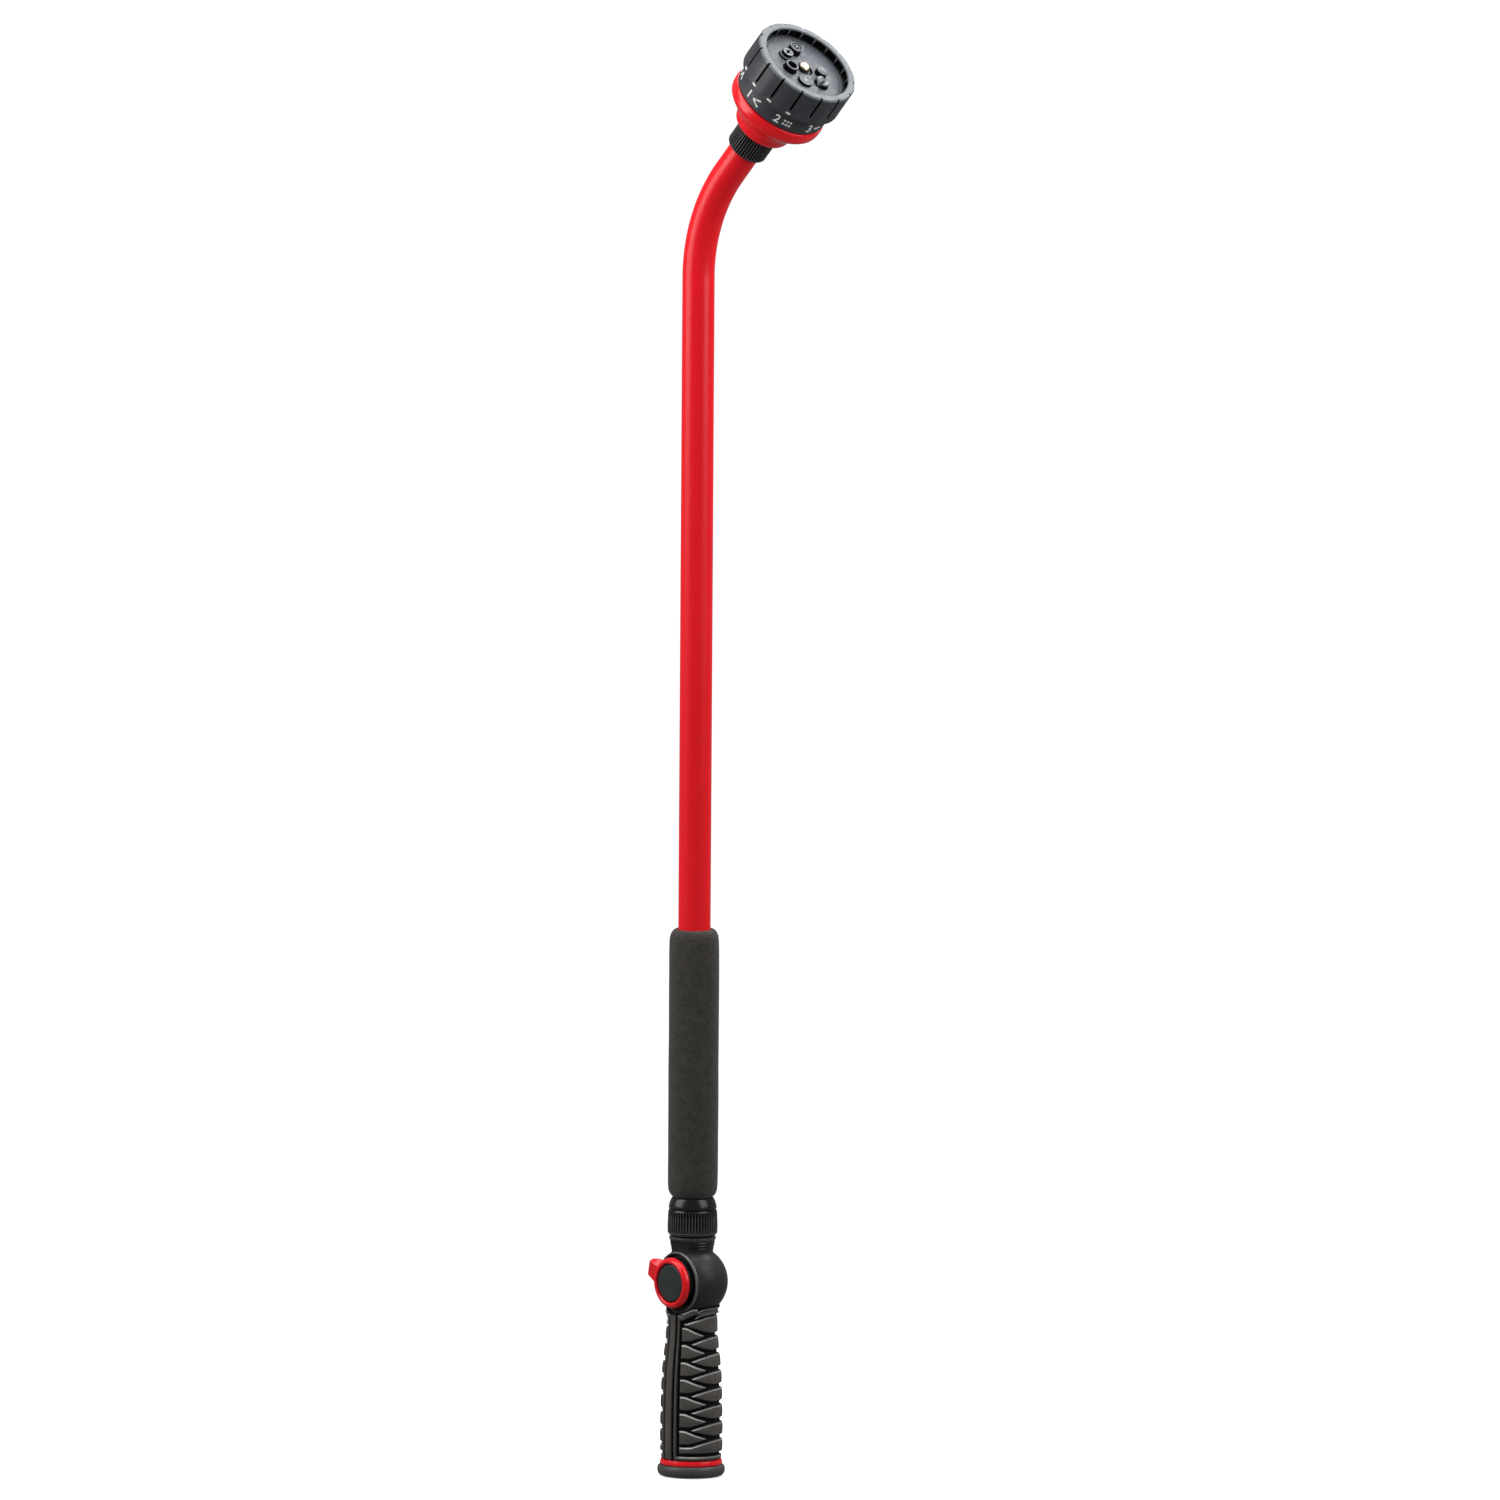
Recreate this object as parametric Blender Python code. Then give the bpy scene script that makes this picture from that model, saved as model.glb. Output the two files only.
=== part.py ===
"""Watering wand: a handle with a lever-turned ball valve, a bent tube with a foam grip, and
a spray head whose dial turns to choose one of six nozzles.

Every length below is in millimetres. The hose end is at the origin, the tube rises along +Z
and the spray head leans over towards +X. Heights in the head are measured along its own
axis, from the end of the bend.
"""

import math

import bmesh
import bpy
from mathutils import Matrix

for old in list(bpy.data.objects):
    bpy.data.objects.remove(old, do_unlink=True)

# ---------------------------------------------------------------- driving dimensions

GAP = 0.3  # clearance left between pieces that meet
HANDLE_TURN = -9.7  # degrees the handle is turned about the tube, away from the bend

TUBE_R = 9.525
TUBE_BORE = 8.3
TUBE_FOOT = 154.6
BEND_START = 709.5
BEND_RADIUS = 100.0
BEND_ANGLE = 40.0
TUBE_END = 25.4  # straight length after the bend

SOCKET_R = 13.3
SOCKET_DEPTH = 13.0
CORE_BORE = 6.0

GRIP_FOOT = 12.0
GRIP_TOP = 98.8  # the collar around the foot of the ball
GRIP_GROOVE = 1.6
GRIP_PITCH = 9.8
GRIP_GROOVES = 8
GRIP_FIRST_GROOVE = 21.6

VALVE_HEIGHT = 115.0
HOUSING_R = 21.0
RIM_R = 18.2
RIM_TOP = 11.9  # along the lever axis, from the middle of the ball
POCKET_R = 16.3
POCKET_FLOOR = 9.1
BALL_R = 8.2
BALL_BORE = 4.6
STEM_R = 3.5
LEVER_R = 15.1
LEVER_TAB_ANGLE = 158.0
LEVER_TAB_REACH = 21.2
LEVER_TAB_FOOT = 14.3  # clears the neck when the tab passes it

THREAD_R = 10.6
NUT_FOOT = 142.5
NUT_TOP = 157.9
NUT_R = 14.7
NUT_RIBS = 22

FOAM_FOOT = 165.1
FOAM_TOP = 323.6
FOAM_R = 14.6

HEAD_NUT_FOOT = 19.8
HEAD_NUT_TOP = 35.2
HEAD_NUT_R = 12.6
REAR_FRONT = 60.8  # front edge of the rear housing
PLATE_R = 27.5
DIAL_FOOT = 61.1
BAND_R = 29.2
BAND_TOP = 72.0
DIAL_R = 32.6
DIAL_FACE = 93.0
RECESS_R = 27.5
RECESS_FLOOR = 87.0
DIAL_PADS = 15

PORT_RADIUS = 12.4
PORT_ANGLE = 262.0
DETENT_RADIUS = 20.0
DETENT_ANGLE = 90.0

# where each nozzle stands on the face: distance from the middle, angle, outer radius
CONE_AT = (14.3, 165.0, 4.1)
STAR_AT = (12.8, 206.0, 4.3)
JET_AT = (10.8, 262.0, 4.3)
SOAKER_AT = (12.1, 323.0, 4.4)
FAN_AT = (14.1, 17.0, 4.4)
SHOWER_AT = (11.8, 60.0, 3.6)
NOZZLE_FOOT = 65.7

# ---------------------------------------------------------------- materials


def paint(name, colour, roughness, metallic=0.0):
    made = bpy.data.materials.new(name)
    made.use_nodes = True
    shader = made.node_tree.nodes["Principled BSDF"]
    shader.inputs["Base Color"].default_value = (*colour, 1.0)
    shader.inputs["Roughness"].default_value = roughness
    shader.inputs["Metallic"].default_value = metallic
    return made


RED = ((0.72, 0.012, 0.02), 0.25)
CHARCOAL = ((0.035, 0.033, 0.032), 0.5)
BLACK = ((0.018, 0.018, 0.018), 0.4)
GREY = ((0.30, 0.32, 0.35), 0.45)
RUBBER = ((0.02, 0.02, 0.02), 0.8)
FOAM = ((0.028, 0.026, 0.023), 0.95)
SEAT_WHITE = ((0.8, 0.8, 0.78), 0.4)
STEEL = ((0.6, 0.6, 0.6), 0.3, 1.0)
BRASS = ((0.75, 0.55, 0.25), 0.3, 1.0)

# ---------------------------------------------------------------- shapes


def turned(profile, steps=24, shape=None, angles=None):
    """A closed profile of (radius, height) points swept around Z. A point at radius 0 is on
    the axis. shape(radius, height, step) may change the radius from step to step, and
    angles may space the steps unevenly."""
    angles = angles or [math.tau * step / steps for step in range(steps)]
    steps = len(angles)
    made = bmesh.new()
    rings = []
    for radius, height in profile:
        if radius == 0:
            rings.append([made.verts.new((0, 0, height))])
            continue
        ring = []
        for step, angle in enumerate(angles):
            reach = shape(radius, height, step) if shape else radius
            ring.append(made.verts.new((reach * math.cos(angle), reach * math.sin(angle), height)))
        rings.append(ring)
    for one, two in zip(rings, rings[1:] + rings[:1]):
        for step in range(steps):
            after = (step + 1) % steps
            if len(one) == 1 and len(two) == 1:
                break
            if len(one) == 1:
                made.faces.new((one[0], two[step], two[after]))
            elif len(two) == 1:
                made.faces.new((one[step], two[0], one[after]))
            else:
                made.faces.new((one[step], two[step], two[after], one[after]))
    return made


def prism(outline, low, high):
    """A flat outline of (x, y) points drawn out from one height to another."""
    made = bmesh.new()
    below = [made.verts.new((x, y, low)) for x, y in outline]
    above = [made.verts.new((x, y, high)) for x, y in outline]
    made.faces.new(below)
    made.faces.new(above)
    for i in range(len(outline)):
        j = (i + 1) % len(outline)
        made.faces.new((below[i], below[j], above[j], above[i]))
    return made


def circle(radius, steps, x=0.0, y=0.0):
    turns = [math.tau * i / steps for i in range(steps)]
    return [(x + radius * math.cos(turn), y + radius * math.sin(turn)) for turn in turns]


def box(width, depth, low, high, x=0.0, y=0.0):
    w, d = width / 2, depth / 2
    return prism([(x - w, y - d), (x + w, y - d), (x + w, y + d), (x - w, y + d)], low, high)


def swept(centres, across, radius, sides):
    """A round bar along a list of points; across gives the two directions of each section."""
    made = bmesh.new()
    rings = []
    for centre, (one, two) in zip(centres, across):
        ring = []
        for x, y in circle(radius, sides):
            ring.append(made.verts.new([centre[k] + one[k] * x + two[k] * y for k in range(3)]))
        rings.append(ring)
    for one, two in zip(rings, rings[1:]):
        for i in range(sides):
            j = (i + 1) % sides
            made.faces.new((one[i], one[j], two[j], two[i]))
    made.faces.new(rings[0])
    made.faces.new(rings[-1])
    return made


def coil(radius, wire, low, high, turns, steps=10, sides=5):
    """A compression spring standing on Z."""
    count = turns * steps
    centres, across = [], []
    for i in range(count + 1):
        angle = math.tau * i / steps
        out = (math.cos(angle), math.sin(angle), 0)
        height = low + wire + (high - low - 2 * wire) * i / count
        centres.append((radius * out[0], radius * out[1], height))
        across.append((out, (0, 0, 1)))
    return swept(centres, across, wire, sides)


def ring_section(radius, height, section, sides=7):
    """Profile of an O-ring."""
    return [(radius + x, height + y) for x, y in circle(section, sides)]


def joined(parts):
    """Several separate bodies in one mesh, for a cutter."""
    made = bmesh.new()
    for part in parts:
        carrier = bpy.data.meshes.new("carrier")
        part.to_mesh(carrier)
        part.free()
        made.from_mesh(carrier)
        bpy.data.meshes.remove(carrier)
    return made


# ---------------------------------------------------------------- pieces


def frame(name, place=(0, 0, 0), turn=(0, 0, 0), parent=None):
    made = bpy.data.objects.new(name, None)
    made.empty_display_size = 0.01
    settle(made, place, turn, parent)
    return made


def settle(made, place, turn, parent):
    made.location = [value / 1000 for value in place]
    made.rotation_euler = [math.radians(value) for value in turn]
    made.parent = parent
    bpy.context.scene.collection.objects.link(made)


def mesh_object(name, shape):
    bmesh.ops.scale(shape, vec=(0.001, 0.001, 0.001), verts=shape.verts)
    bmesh.ops.recalc_face_normals(shape, faces=shape.faces)
    mesh = bpy.data.meshes.new(name)
    shape.to_mesh(mesh)
    shape.free()
    return bpy.data.objects.new(name, mesh)


def piece(name, shape, look, parent, place=(0, 0, 0), turn=(0, 0, 0), sharp=35):
    made = mesh_object(name, shape)
    settle(made, place, turn, parent)
    made.data.materials.append(paint(name, *look))
    made.data.shade_smooth()
    made.data.set_sharp_from_angle(angle=math.radians(sharp))
    return made


def combine(made, name, tool, operation="DIFFERENCE", place=(0, 0, 0), turn=(0, 0, 0)):
    """Cuts the tool shape out of the piece, or joins it on."""
    cutter = mesh_object(name, tool)
    settle(cutter, place, turn, made)
    cutter.hide_render = True
    cutter.display_type = "WIRE"
    step = made.modifiers.new(name, "BOOLEAN")
    step.object = cutter
    step.operation = operation
    step.solver = "EXACT"


def polar(at):
    distance, angle = at[0], math.radians(at[1])
    return distance * math.cos(angle), distance * math.sin(angle)


handle = frame("handle_frame", turn=(0, 0, HANDLE_TURN))
valve = frame("valve_frame", place=(0, 0, VALVE_HEIGHT), turn=(90, 0, 0), parent=handle)
tube_frame = frame("tube_frame")
bend = math.radians(BEND_ANGLE)
bend_end = (BEND_RADIUS * (1 - math.cos(bend)), 0, BEND_START + BEND_RADIUS * math.sin(bend))
head = frame("head_frame", place=bend_end, turn=(0, BEND_ANGLE, 0))

# ---------------------------------------------------------------- hose end

piece("inlet_end_cap", turned([
    (SOCKET_R + 0.5, 0.0), (17.4, 0.0), (18.6, 0.5), (19.6, 1.8), (20.1, 3.6), (20.1, 4.9),
    (19.6, 6.1), (18.6, 6.9), (15.6, 6.9), (15.6, 15.9), (8.0, 15.9), (8.0, SOCKET_DEPTH),
    (SOCKET_R, SOCKET_DEPTH), (SOCKET_R, 0.5),
], 32), CHARCOAL, handle)

piece("inlet_washer", turned([
    (8.4, 10.6), (12.9, 10.6), (12.9, 12.6), (8.4, 12.6),
]), RUBBER, handle)

screen = piece("inlet_filter_screen", turned([
    (0, 13.3), (7.6, 13.3), (7.6, 14.1), (0, 14.1),
]), STEEL, handle)
mesh_holes = [box(1.5, 1.5, 12.8, 14.6, 2.2 * i, 2.2 * j)
              for i in range(-2, 3) for j in range(-2, 3) if abs(i) + abs(j) < 3]
combine(screen, "screen_holes", joined(mesh_holes))

piece("accent_ring", turned([
    (15.9, 7.2), (18.5, 7.2), (18.6, 7.8), (17.9, 10.6), (17.3, 11.6), (15.9, 11.6),
], 28), RED, handle)

# ---------------------------------------------------------------- handle

piece("handle_core", turned([
    (CORE_BORE, 16.3), (11.7, 16.3), (11.7, 91.5), (CORE_BORE, 91.5),
]), BLACK, handle)

GRIP_RADII = [(12.0, 17.9), (15.0, 18.5), (30.0, 18.5), (44.0, 18.2), (53.0, 18.0),
              (62.0, 17.6), (71.0, 16.7), (80.0, 15.6), (89.0, 15.0), (96.0, 14.7)]


def grip_radius(height):
    for (low, one), (high, two) in zip(GRIP_RADII, GRIP_RADII[1:]):
        if height <= high:
            return one + (two - one) * (height - low) / (high - low)
    return GRIP_RADII[-1][1]


grip = [(15.9, GRIP_FOOT), (grip_radius(GRIP_FOOT), GRIP_FOOT), (18.5, 15.0)]
for i in range(GRIP_GROOVES):
    middle = GRIP_FIRST_GROOVE + GRIP_PITCH * i
    for offset, depth in ((-1.1, 0), (0, GRIP_GROOVE), (1.1, 0)):
        grip.append((grip_radius(middle + offset) - depth, middle + offset))
grip += [(14.8, 95.0), (15.1, 97.4), (14.7, GRIP_TOP), (13.9, GRIP_TOP), (12.0, 97.2),
         (12.0, 16.3), (15.9, 16.3)]
overmould = piece("handle_overmould", turned(grip, 24), CHARCOAL, handle)
into_valve = {"place": (0, 0, VALVE_HEIGHT), "turn": (90, 0, 0)}
combine(overmould, "rim_clearance", prism(circle(RIM_R + GAP, 28), 9.3, 24), **into_valve)

# ---------------------------------------------------------------- valve

body = [(CORE_BORE, 91.8), (11.7, 91.8), (11.7, 97.7)]
for turn in range(-54, 55, 12):
    angle = math.radians(turn)
    body.append((HOUSING_R * math.cos(angle), VALVE_HEIGHT + HOUSING_R * math.sin(angle)))
body += [(12.2, 133.8), (13.6, 140.8), (13.8, 141.8), (THREAD_R, 142.1), (THREAD_R, 151.2),
         (THREAD_R - 0.8, 152.0), (6.5, 152.0), (CORE_BORE, 151.4)]
housing = piece("valve_housing", turned(body, 28), CHARCOAL, handle)
combine(housing, "housing_rim", turned([
    (0, 9.6), (RIM_R - 0.4, 9.6), (RIM_R, 10.2), (RIM_R, RIM_TOP + 1), (0, RIM_TOP + 1),
], 28), "UNION", **into_valve)
combine(housing, "housing_face", prism(circle(34, 24), RIM_TOP, 40), **into_valve)
combine(housing, "housing_pocket", prism(circle(POCKET_R, 28), POCKET_FLOOR, 41), **into_valve)
combine(housing, "ball_cavity", prism(circle(BALL_R + 0.4, 20), -BALL_R - 0.4, 42), **into_valve)
combine(housing, "seat_pockets", prism(circle(8.0, 20), 103.9, 126.1))

for name, side in (("valve_seat_lower", -1), ("valve_seat_upper", 1)):
    seat = [(5.2, 7.2), (5.8, 6.9), (7.7, 7.4), (7.7, 10.8), (5.2, 10.8)]
    piece(name, turned([(r, VALVE_HEIGHT + side * z) for r, z in seat]), SEAT_WHITE, handle)

ball_profile = [(0, -BALL_R)]
for turn in range(-72, 73, 18):
    angle = math.radians(turn)
    ball_profile.append((BALL_R * math.cos(angle), BALL_R * math.sin(angle)))
ball_profile.append((0, BALL_R))
ball = piece("valve_ball", turned(ball_profile), STEEL, valve)
combine(ball, "ball_bore", prism(circle(BALL_BORE, 20), -12, 12), turn=(0, 90, 0))
combine(ball, "ball_slot", box(30, 3.0, 5.9, 12))

stem = piece("valve_stem", turned([
    (0, 8.6), (STEM_R, 8.6), (STEM_R, 12.3), (1.9, 12.3), (1.9, 9.5), (0, 9.5),
]), BRASS, valve)
combine(stem, "stem_tongue", box(5.6, 2.4, 6.2, 9.0), "UNION")

piece("stem_gland", turned([
    (5.2, 8.8), (8.3, 8.8), (8.3, 10.8), (5.2, 10.8),
]), BLACK, valve)
piece("stem_o_ring", turned(ring_section(4.35, 9.8, 0.5), 18), RUBBER, valve)

piece("lever_base", turned([
    (3.8, 11.4), (12.4, 11.4), (12.4, 9.6), (14.4, 9.6), (14.9, 10.2), (14.9, 14.0),
    (11.5, 14.0), (11.5, 12.6), (3.8, 12.6),
], 30), CHARCOAL, valve)

lever = piece("valve_lever", turned([
    (11.5, 14.3), (LEVER_R, 14.3), (LEVER_R, 15.6), (14.7, 17.0), (13.5, 18.1), (12.2, 18.2),
    (11.5, 17.5),
], 30), RED, valve)


def lever_tab():
    """A thumb tab that narrows outwards, with a ridge along its upper side."""
    made = bmesh.new()
    foot, edge, ridge = LEVER_TAB_FOOT, LEVER_TAB_FOOT + 1.2, LEVER_TAB_FOOT + 2.9
    sections = []
    for reach, upper, crest, lower in ((12.9, -8.6, -3.6, 7.6), (16.5, -7.6, -3.8, 6.9),
                                       (LEVER_TAB_REACH, -5.2, -4.1, 5.4)):
        corners = [(upper, foot), (lower, foot), (lower, edge + 0.4), (crest, ridge), (upper, edge)]
        sections.append([made.verts.new((reach, y, z)) for y, z in corners])
    for one, two in zip(sections, sections[1:]):
        for i in range(5):
            j = (i + 1) % 5
            made.faces.new((one[i], one[j], two[j], two[i]))
    made.faces.new(sections[0])
    made.faces.new(sections[-1])
    return made


combine(lever, "lever_tab_shape", lever_tab(), "UNION", turn=(0, 0, LEVER_TAB_ANGLE))

piece("lever_screw", turned([
    (0, 9.9), (1.6, 9.9), (1.6, 12.9), (4.2, 12.9), (4.2, 13.9), (3.4, 14.4), (0, 14.4),
], 16), STEEL, valve)
piece("lever_cap", turned([
    (9.9, 12.9), (11.2, 12.9), (11.2, 16.9), (10.7, 17.4), (9.6, 17.6), (0, 17.8), (0, 14.7),
    (9.9, 14.7),
], 30), CHARCOAL, valve)

# ---------------------------------------------------------------- lower coupling and tube


def ribbed(outer):
    """Every other step of the ribbed surface is sunk a little."""
    def shape(radius, height, step):
        sunk = radius >= outer - 0.25 and step % 2
        return radius - 0.45 if sunk else radius
    return shape


piece("lower_coupling_nut", turned([
    (THREAD_R + GAP, NUT_FOOT), (13.8, NUT_FOOT), (14.2, 142.9), (14.2, 143.2), (NUT_R, 143.4),
    (NUT_R, 157.2), (14.2, NUT_TOP), (12.3, NUT_TOP), (12.3, 154.2), (THREAD_R + GAP, 154.2),
], NUT_RIBS * 2, ribbed(NUT_R)), BLACK, tube_frame)

piece("lower_o_ring", turned(ring_section(8.2, 153.3, 0.95)), RUBBER, tube_frame)

piece("tube_collar", turned([
    (TUBE_R + GAP, TUBE_FOOT), (12.0, TUBE_FOOT), (12.0, 158.0), (14.0, 158.2), (14.2, 158.8),
    (14.0, 160.2), (13.3, 162.2), (12.4, 163.8), (11.7, 164.6), (TUBE_R + GAP, 164.8),
], 28), BLACK, tube_frame)

piece("foam_grip", turned([
    (TUBE_R + GAP, FOAM_FOOT), (11.6, FOAM_FOOT), (13.0, 166.0), (14.0, 167.6), (14.4, 170.0),
    (FOAM_R, 180.0), (FOAM_R, 308.0), (14.4, 318.6), (13.4, 322.4), (11.4, FOAM_TOP),
    (TUBE_R + GAP, FOAM_TOP),
], 28), FOAM, tube_frame)


def tube_shape():
    """The tube: straight, bent and straight again, with its bore."""
    sides, bends = 24, 9
    stations = [((0.0, TUBE_FOOT), 0.0)]
    for i in range(bends + 1):
        angle = bend * i / bends
        stations.append(((BEND_RADIUS * (1 - math.cos(angle)),
                          BEND_START + BEND_RADIUS * math.sin(angle)), angle))
    end = (bend_end[0] + TUBE_END * math.sin(bend), bend_end[2] + TUBE_END * math.cos(bend))
    stations.append((end, bend))
    made = bmesh.new()
    skins = []
    for radius in (TUBE_R, TUBE_BORE):
        skin = []
        for (x, z), angle in stations:
            skin.append([made.verts.new((x + u * math.cos(angle), v, z - u * math.sin(angle)))
                         for u, v in circle(radius, sides)])
        skins.append(skin)
    outer, inner = skins
    loop = outer + inner[::-1]
    for one, two in zip(loop, loop[1:] + loop[:1]):
        for i in range(sides):
            j = (i + 1) % sides
            made.faces.new((one[i], one[j], two[j], two[i]))
    return made


piece("wand_tube", tube_shape(), RED, tube_frame)

# ---------------------------------------------------------------- head, fixed part

piece("upper_ferrule", turned([
    (TUBE_R + GAP, 22.3), (10.65, 22.3), (10.65, 25.4), (TUBE_R + GAP, 25.4),
]), STEEL, head)
piece("upper_o_ring", turned(ring_section(8.4, 26.75, 0.95)), RUBBER, head)

piece("upper_coupling_nut", turned([
    (TUBE_R + GAP, HEAD_NUT_FOOT), (11.9, HEAD_NUT_FOOT), (HEAD_NUT_R, 20.6),
    (HEAD_NUT_R, 33.0), (11.5, HEAD_NUT_TOP), (10.95, HEAD_NUT_TOP), (10.95, 22.0),
    (TUBE_R + GAP, 22.0),
], NUT_RIBS * 2, ribbed(HEAD_NUT_R)), BLACK, head)

piece("head_rear_housing", turned([
    (7.0, 28.1), (10.6, 28.1), (10.6, 35.5), (13.5, 35.5), (15.8, 36.3), (17.3, 37.9),
    (18.0, 39.6), (18.3, 41.8), (18.9, 43.4), (20.2, 45.0), (24.2, 48.8),
    (27.9, 52.1), (29.2, 53.6), (29.7, 55.4), (29.8, 59.3), (29.5, 60.4), (28.9, REAR_FRONT),
    (27.8, REAR_FRONT), (27.8, 54.0), (24.0, 53.0), (15.0, 45.2), (7.0, 43.0),
], 30), RED, head)

port_at = (PORT_RADIUS, PORT_ANGLE)
detent_at = (DETENT_RADIUS, DETENT_ANGLE)
plate = piece("port_plate", turned([
    (0, 54.3), (PLATE_R, 54.3), (PLATE_R, 60.6), (2.2, 60.6), (2.2, 56.5), (0, 56.5),
]), BLACK, head)
combine(plate, "port_hole", turned([
    (0, 53.0), (2.6, 53.0), (2.6, 55.6), (4.0, 55.6), (4.0, 62.0), (0, 62.0),
], 16), place=(*polar(port_at), 0))
combine(plate, "detent_hole", prism(circle(2.2, 16), 55.6, 62.0), place=(*polar(detent_at), 0))

piece("flow_seal", turned([
    (2.0, 59.0), (3.7, 59.0), (3.7, 60.6), (3.2, 61.1), (2.4, 61.1), (2.0, 60.7),
], 16), RUBBER, head, place=(*polar(port_at), 0))
piece("seal_spring", coil(3.1, 0.3, 55.9, 58.7, 3), STEEL, head, place=(*polar(port_at), 0))

piece("detent_pin", turned([
    (0, 59.0), (1.9, 59.0), (1.9, 60.1), (1.5, 60.7), (0.8, 61.0), (0, 61.1),
], 16), STEEL, head, place=(*polar(detent_at), 0))
piece("detent_spring", coil(1.4, 0.25, 55.9, 58.7, 3), STEEL, head, place=(*polar(detent_at), 0))

screw = piece("pivot_screw", turned([
    (0, 56.9), (1.9, 56.9), (1.9, 88.2), (3.2, 88.2), (3.2, 89.4), (2.4, 90.1), (0, 90.2),
], 20), BRASS, head)
combine(screw, "screw_slot", box(8, 0.9, 89.3, 92))
piece("pivot_washer", turned([
    (2.2, 87.3), (4.2, 87.3), (4.2, 87.9), (2.2, 87.9),
], 20), STEEL, head)

# ---------------------------------------------------------------- dial

NOZZLES = (CONE_AT, STAR_AT, JET_AT, SOAKER_AT, FAN_AT, SHOWER_AT)


def padded(radius, height, step):
    """Thin grooves part the finger pads around the dial."""
    groove = step % 4 == 0 and radius > 32.0 and 74 < height < 91
    return radius - 1.3 if groove else radius


pad_steps = []
for pad in range(DIAL_PADS):
    pad_steps += [math.radians(360 / DIAL_PADS * pad + turn) for turn in (0, 1.4, 12, 22.6)]


piece("dial_shell", turned([
    (RECESS_R, DIAL_FOOT), (28.8, DIAL_FOOT), (BAND_R, 61.5), (BAND_R, 71.5), (29.6, BAND_TOP),
    (31.4, BAND_TOP), (DIAL_R, 73.0), (DIAL_R, 74.2), (DIAL_R, 90.4), (DIAL_R, 91.4),
    (31.9, DIAL_FACE), (28.0, DIAL_FACE), (RECESS_R, 92.5),
], shape=padded, angles=pad_steps), CHARCOAL, head)

back_plate = piece("dial_back_plate", turned([
    (2.2, 61.4), (27.2, 61.4), (27.2, 65.4), (2.2, 65.4),
]), BLACK, head)
ports = [prism(circle(2.2, 10, *polar(at)), 60, 67) for at in NOZZLES]
combine(back_plate, "dial_ports", joined(ports))

face = piece("face_plate", turned([
    (2.2, 84.4), (27.2, 84.4), (27.2, 86.6), (26.8, RECESS_FLOOR), (2.2, RECESS_FLOOR),
], 28), GREY, head)
clearances = [prism(circle(at[2] + GAP, 16, *polar(at)), 83, 88) for at in NOZZLES]
combine(face, "nozzle_holes", joined(clearances))


def nozzle(name, at, profile, look, steps=16):
    return piece(name, turned(profile, steps), look, head,
                 place=(*polar(at), 0), turn=(0, 0, at[1]))


nozzle("cone_nozzle", CONE_AT, [
    (0, NOZZLE_FOOT), (4.1, NOZZLE_FOOT), (4.1, 91.0), (3.4, 91.3), (3.2, 90.0), (2.7, 90.0),
    (2.6, 90.9), (1.9, 90.9), (1.8, 89.4), (1.1, 89.4), (1.0, 91.2), (0, 91.4),
], GREY)

star = nozzle("star_nozzle", STAR_AT, [
    (0, NOZZLE_FOOT), (4.3, NOZZLE_FOOT), (4.3, 88.4), (3.4, 88.6), (3.2, 90.9), (0, 90.9),
], GREY)
star_outline = []
for i in range(12):
    reach = 2.3 if i % 2 == 0 else 1.1
    star_outline.append((reach * math.cos(math.tau * i / 12), reach * math.sin(math.tau * i / 12)))
combine(star, "star_hole", prism(star_outline, 64, 93))

nozzle("jet_nozzle", JET_AT, [
    (2.2, NOZZLE_FOOT), (4.3, NOZZLE_FOOT), (4.3, 90.2), (3.9, 90.8), (3.2, 90.9), (2.8, 90.4),
    (2.2, 86.0),
], GREY)

soaker = nozzle("soaker_nozzle", SOAKER_AT, [
    (0, NOZZLE_FOOT), (4.4, NOZZLE_FOOT), (4.4, 88.6), (4.0, 89.0), (0, 89.0),
], GREY)
drops = [prism(circle(0.45, 6, x, y), 64, 90)
         for x, y in circle(1.4, 4) + circle(2.9, 8)]
combine(soaker, "soaker_holes", joined(drops))

fan = nozzle("fan_nozzle", FAN_AT, [
    (0, NOZZLE_FOOT), (4.4, NOZZLE_FOOT), (4.4, 89.6), (3.9, 90.4), (0, 90.4),
], GREY)
wedge = prism([(-2.2, 92.0), (2.2, 92.0), (0.3, 87.8), (-0.3, 87.8)], -6, 6)
combine(fan, "fan_slot", wedge, turn=(90, 0, 0))
combine(fan, "fan_bore", prism(circle(1.3, 16), 64, 88.6))

shower = nozzle("shower_nozzle", SHOWER_AT, [
    (0, NOZZLE_FOOT), (3.6, NOZZLE_FOOT), (3.6, 90.0), (3.2, 90.5), (0, 90.7),
], GREY)
sprays = [prism(circle(0.35, 6, x, y), 64, 92)
          for x, y in circle(1.1, 4) + circle(2.3, 8)]
combine(shower, "shower_holes", joined(sprays))
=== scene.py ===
"""Looks for the watering wand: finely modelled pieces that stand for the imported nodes, their
materials, the camera and the studio.

Shapes are drawn in millimetres, in the frame of their part of the wand; objects are in metres.
"""

import math

import bmesh
import bpy
import numpy as np
from mathutils import Matrix, Vector


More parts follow.
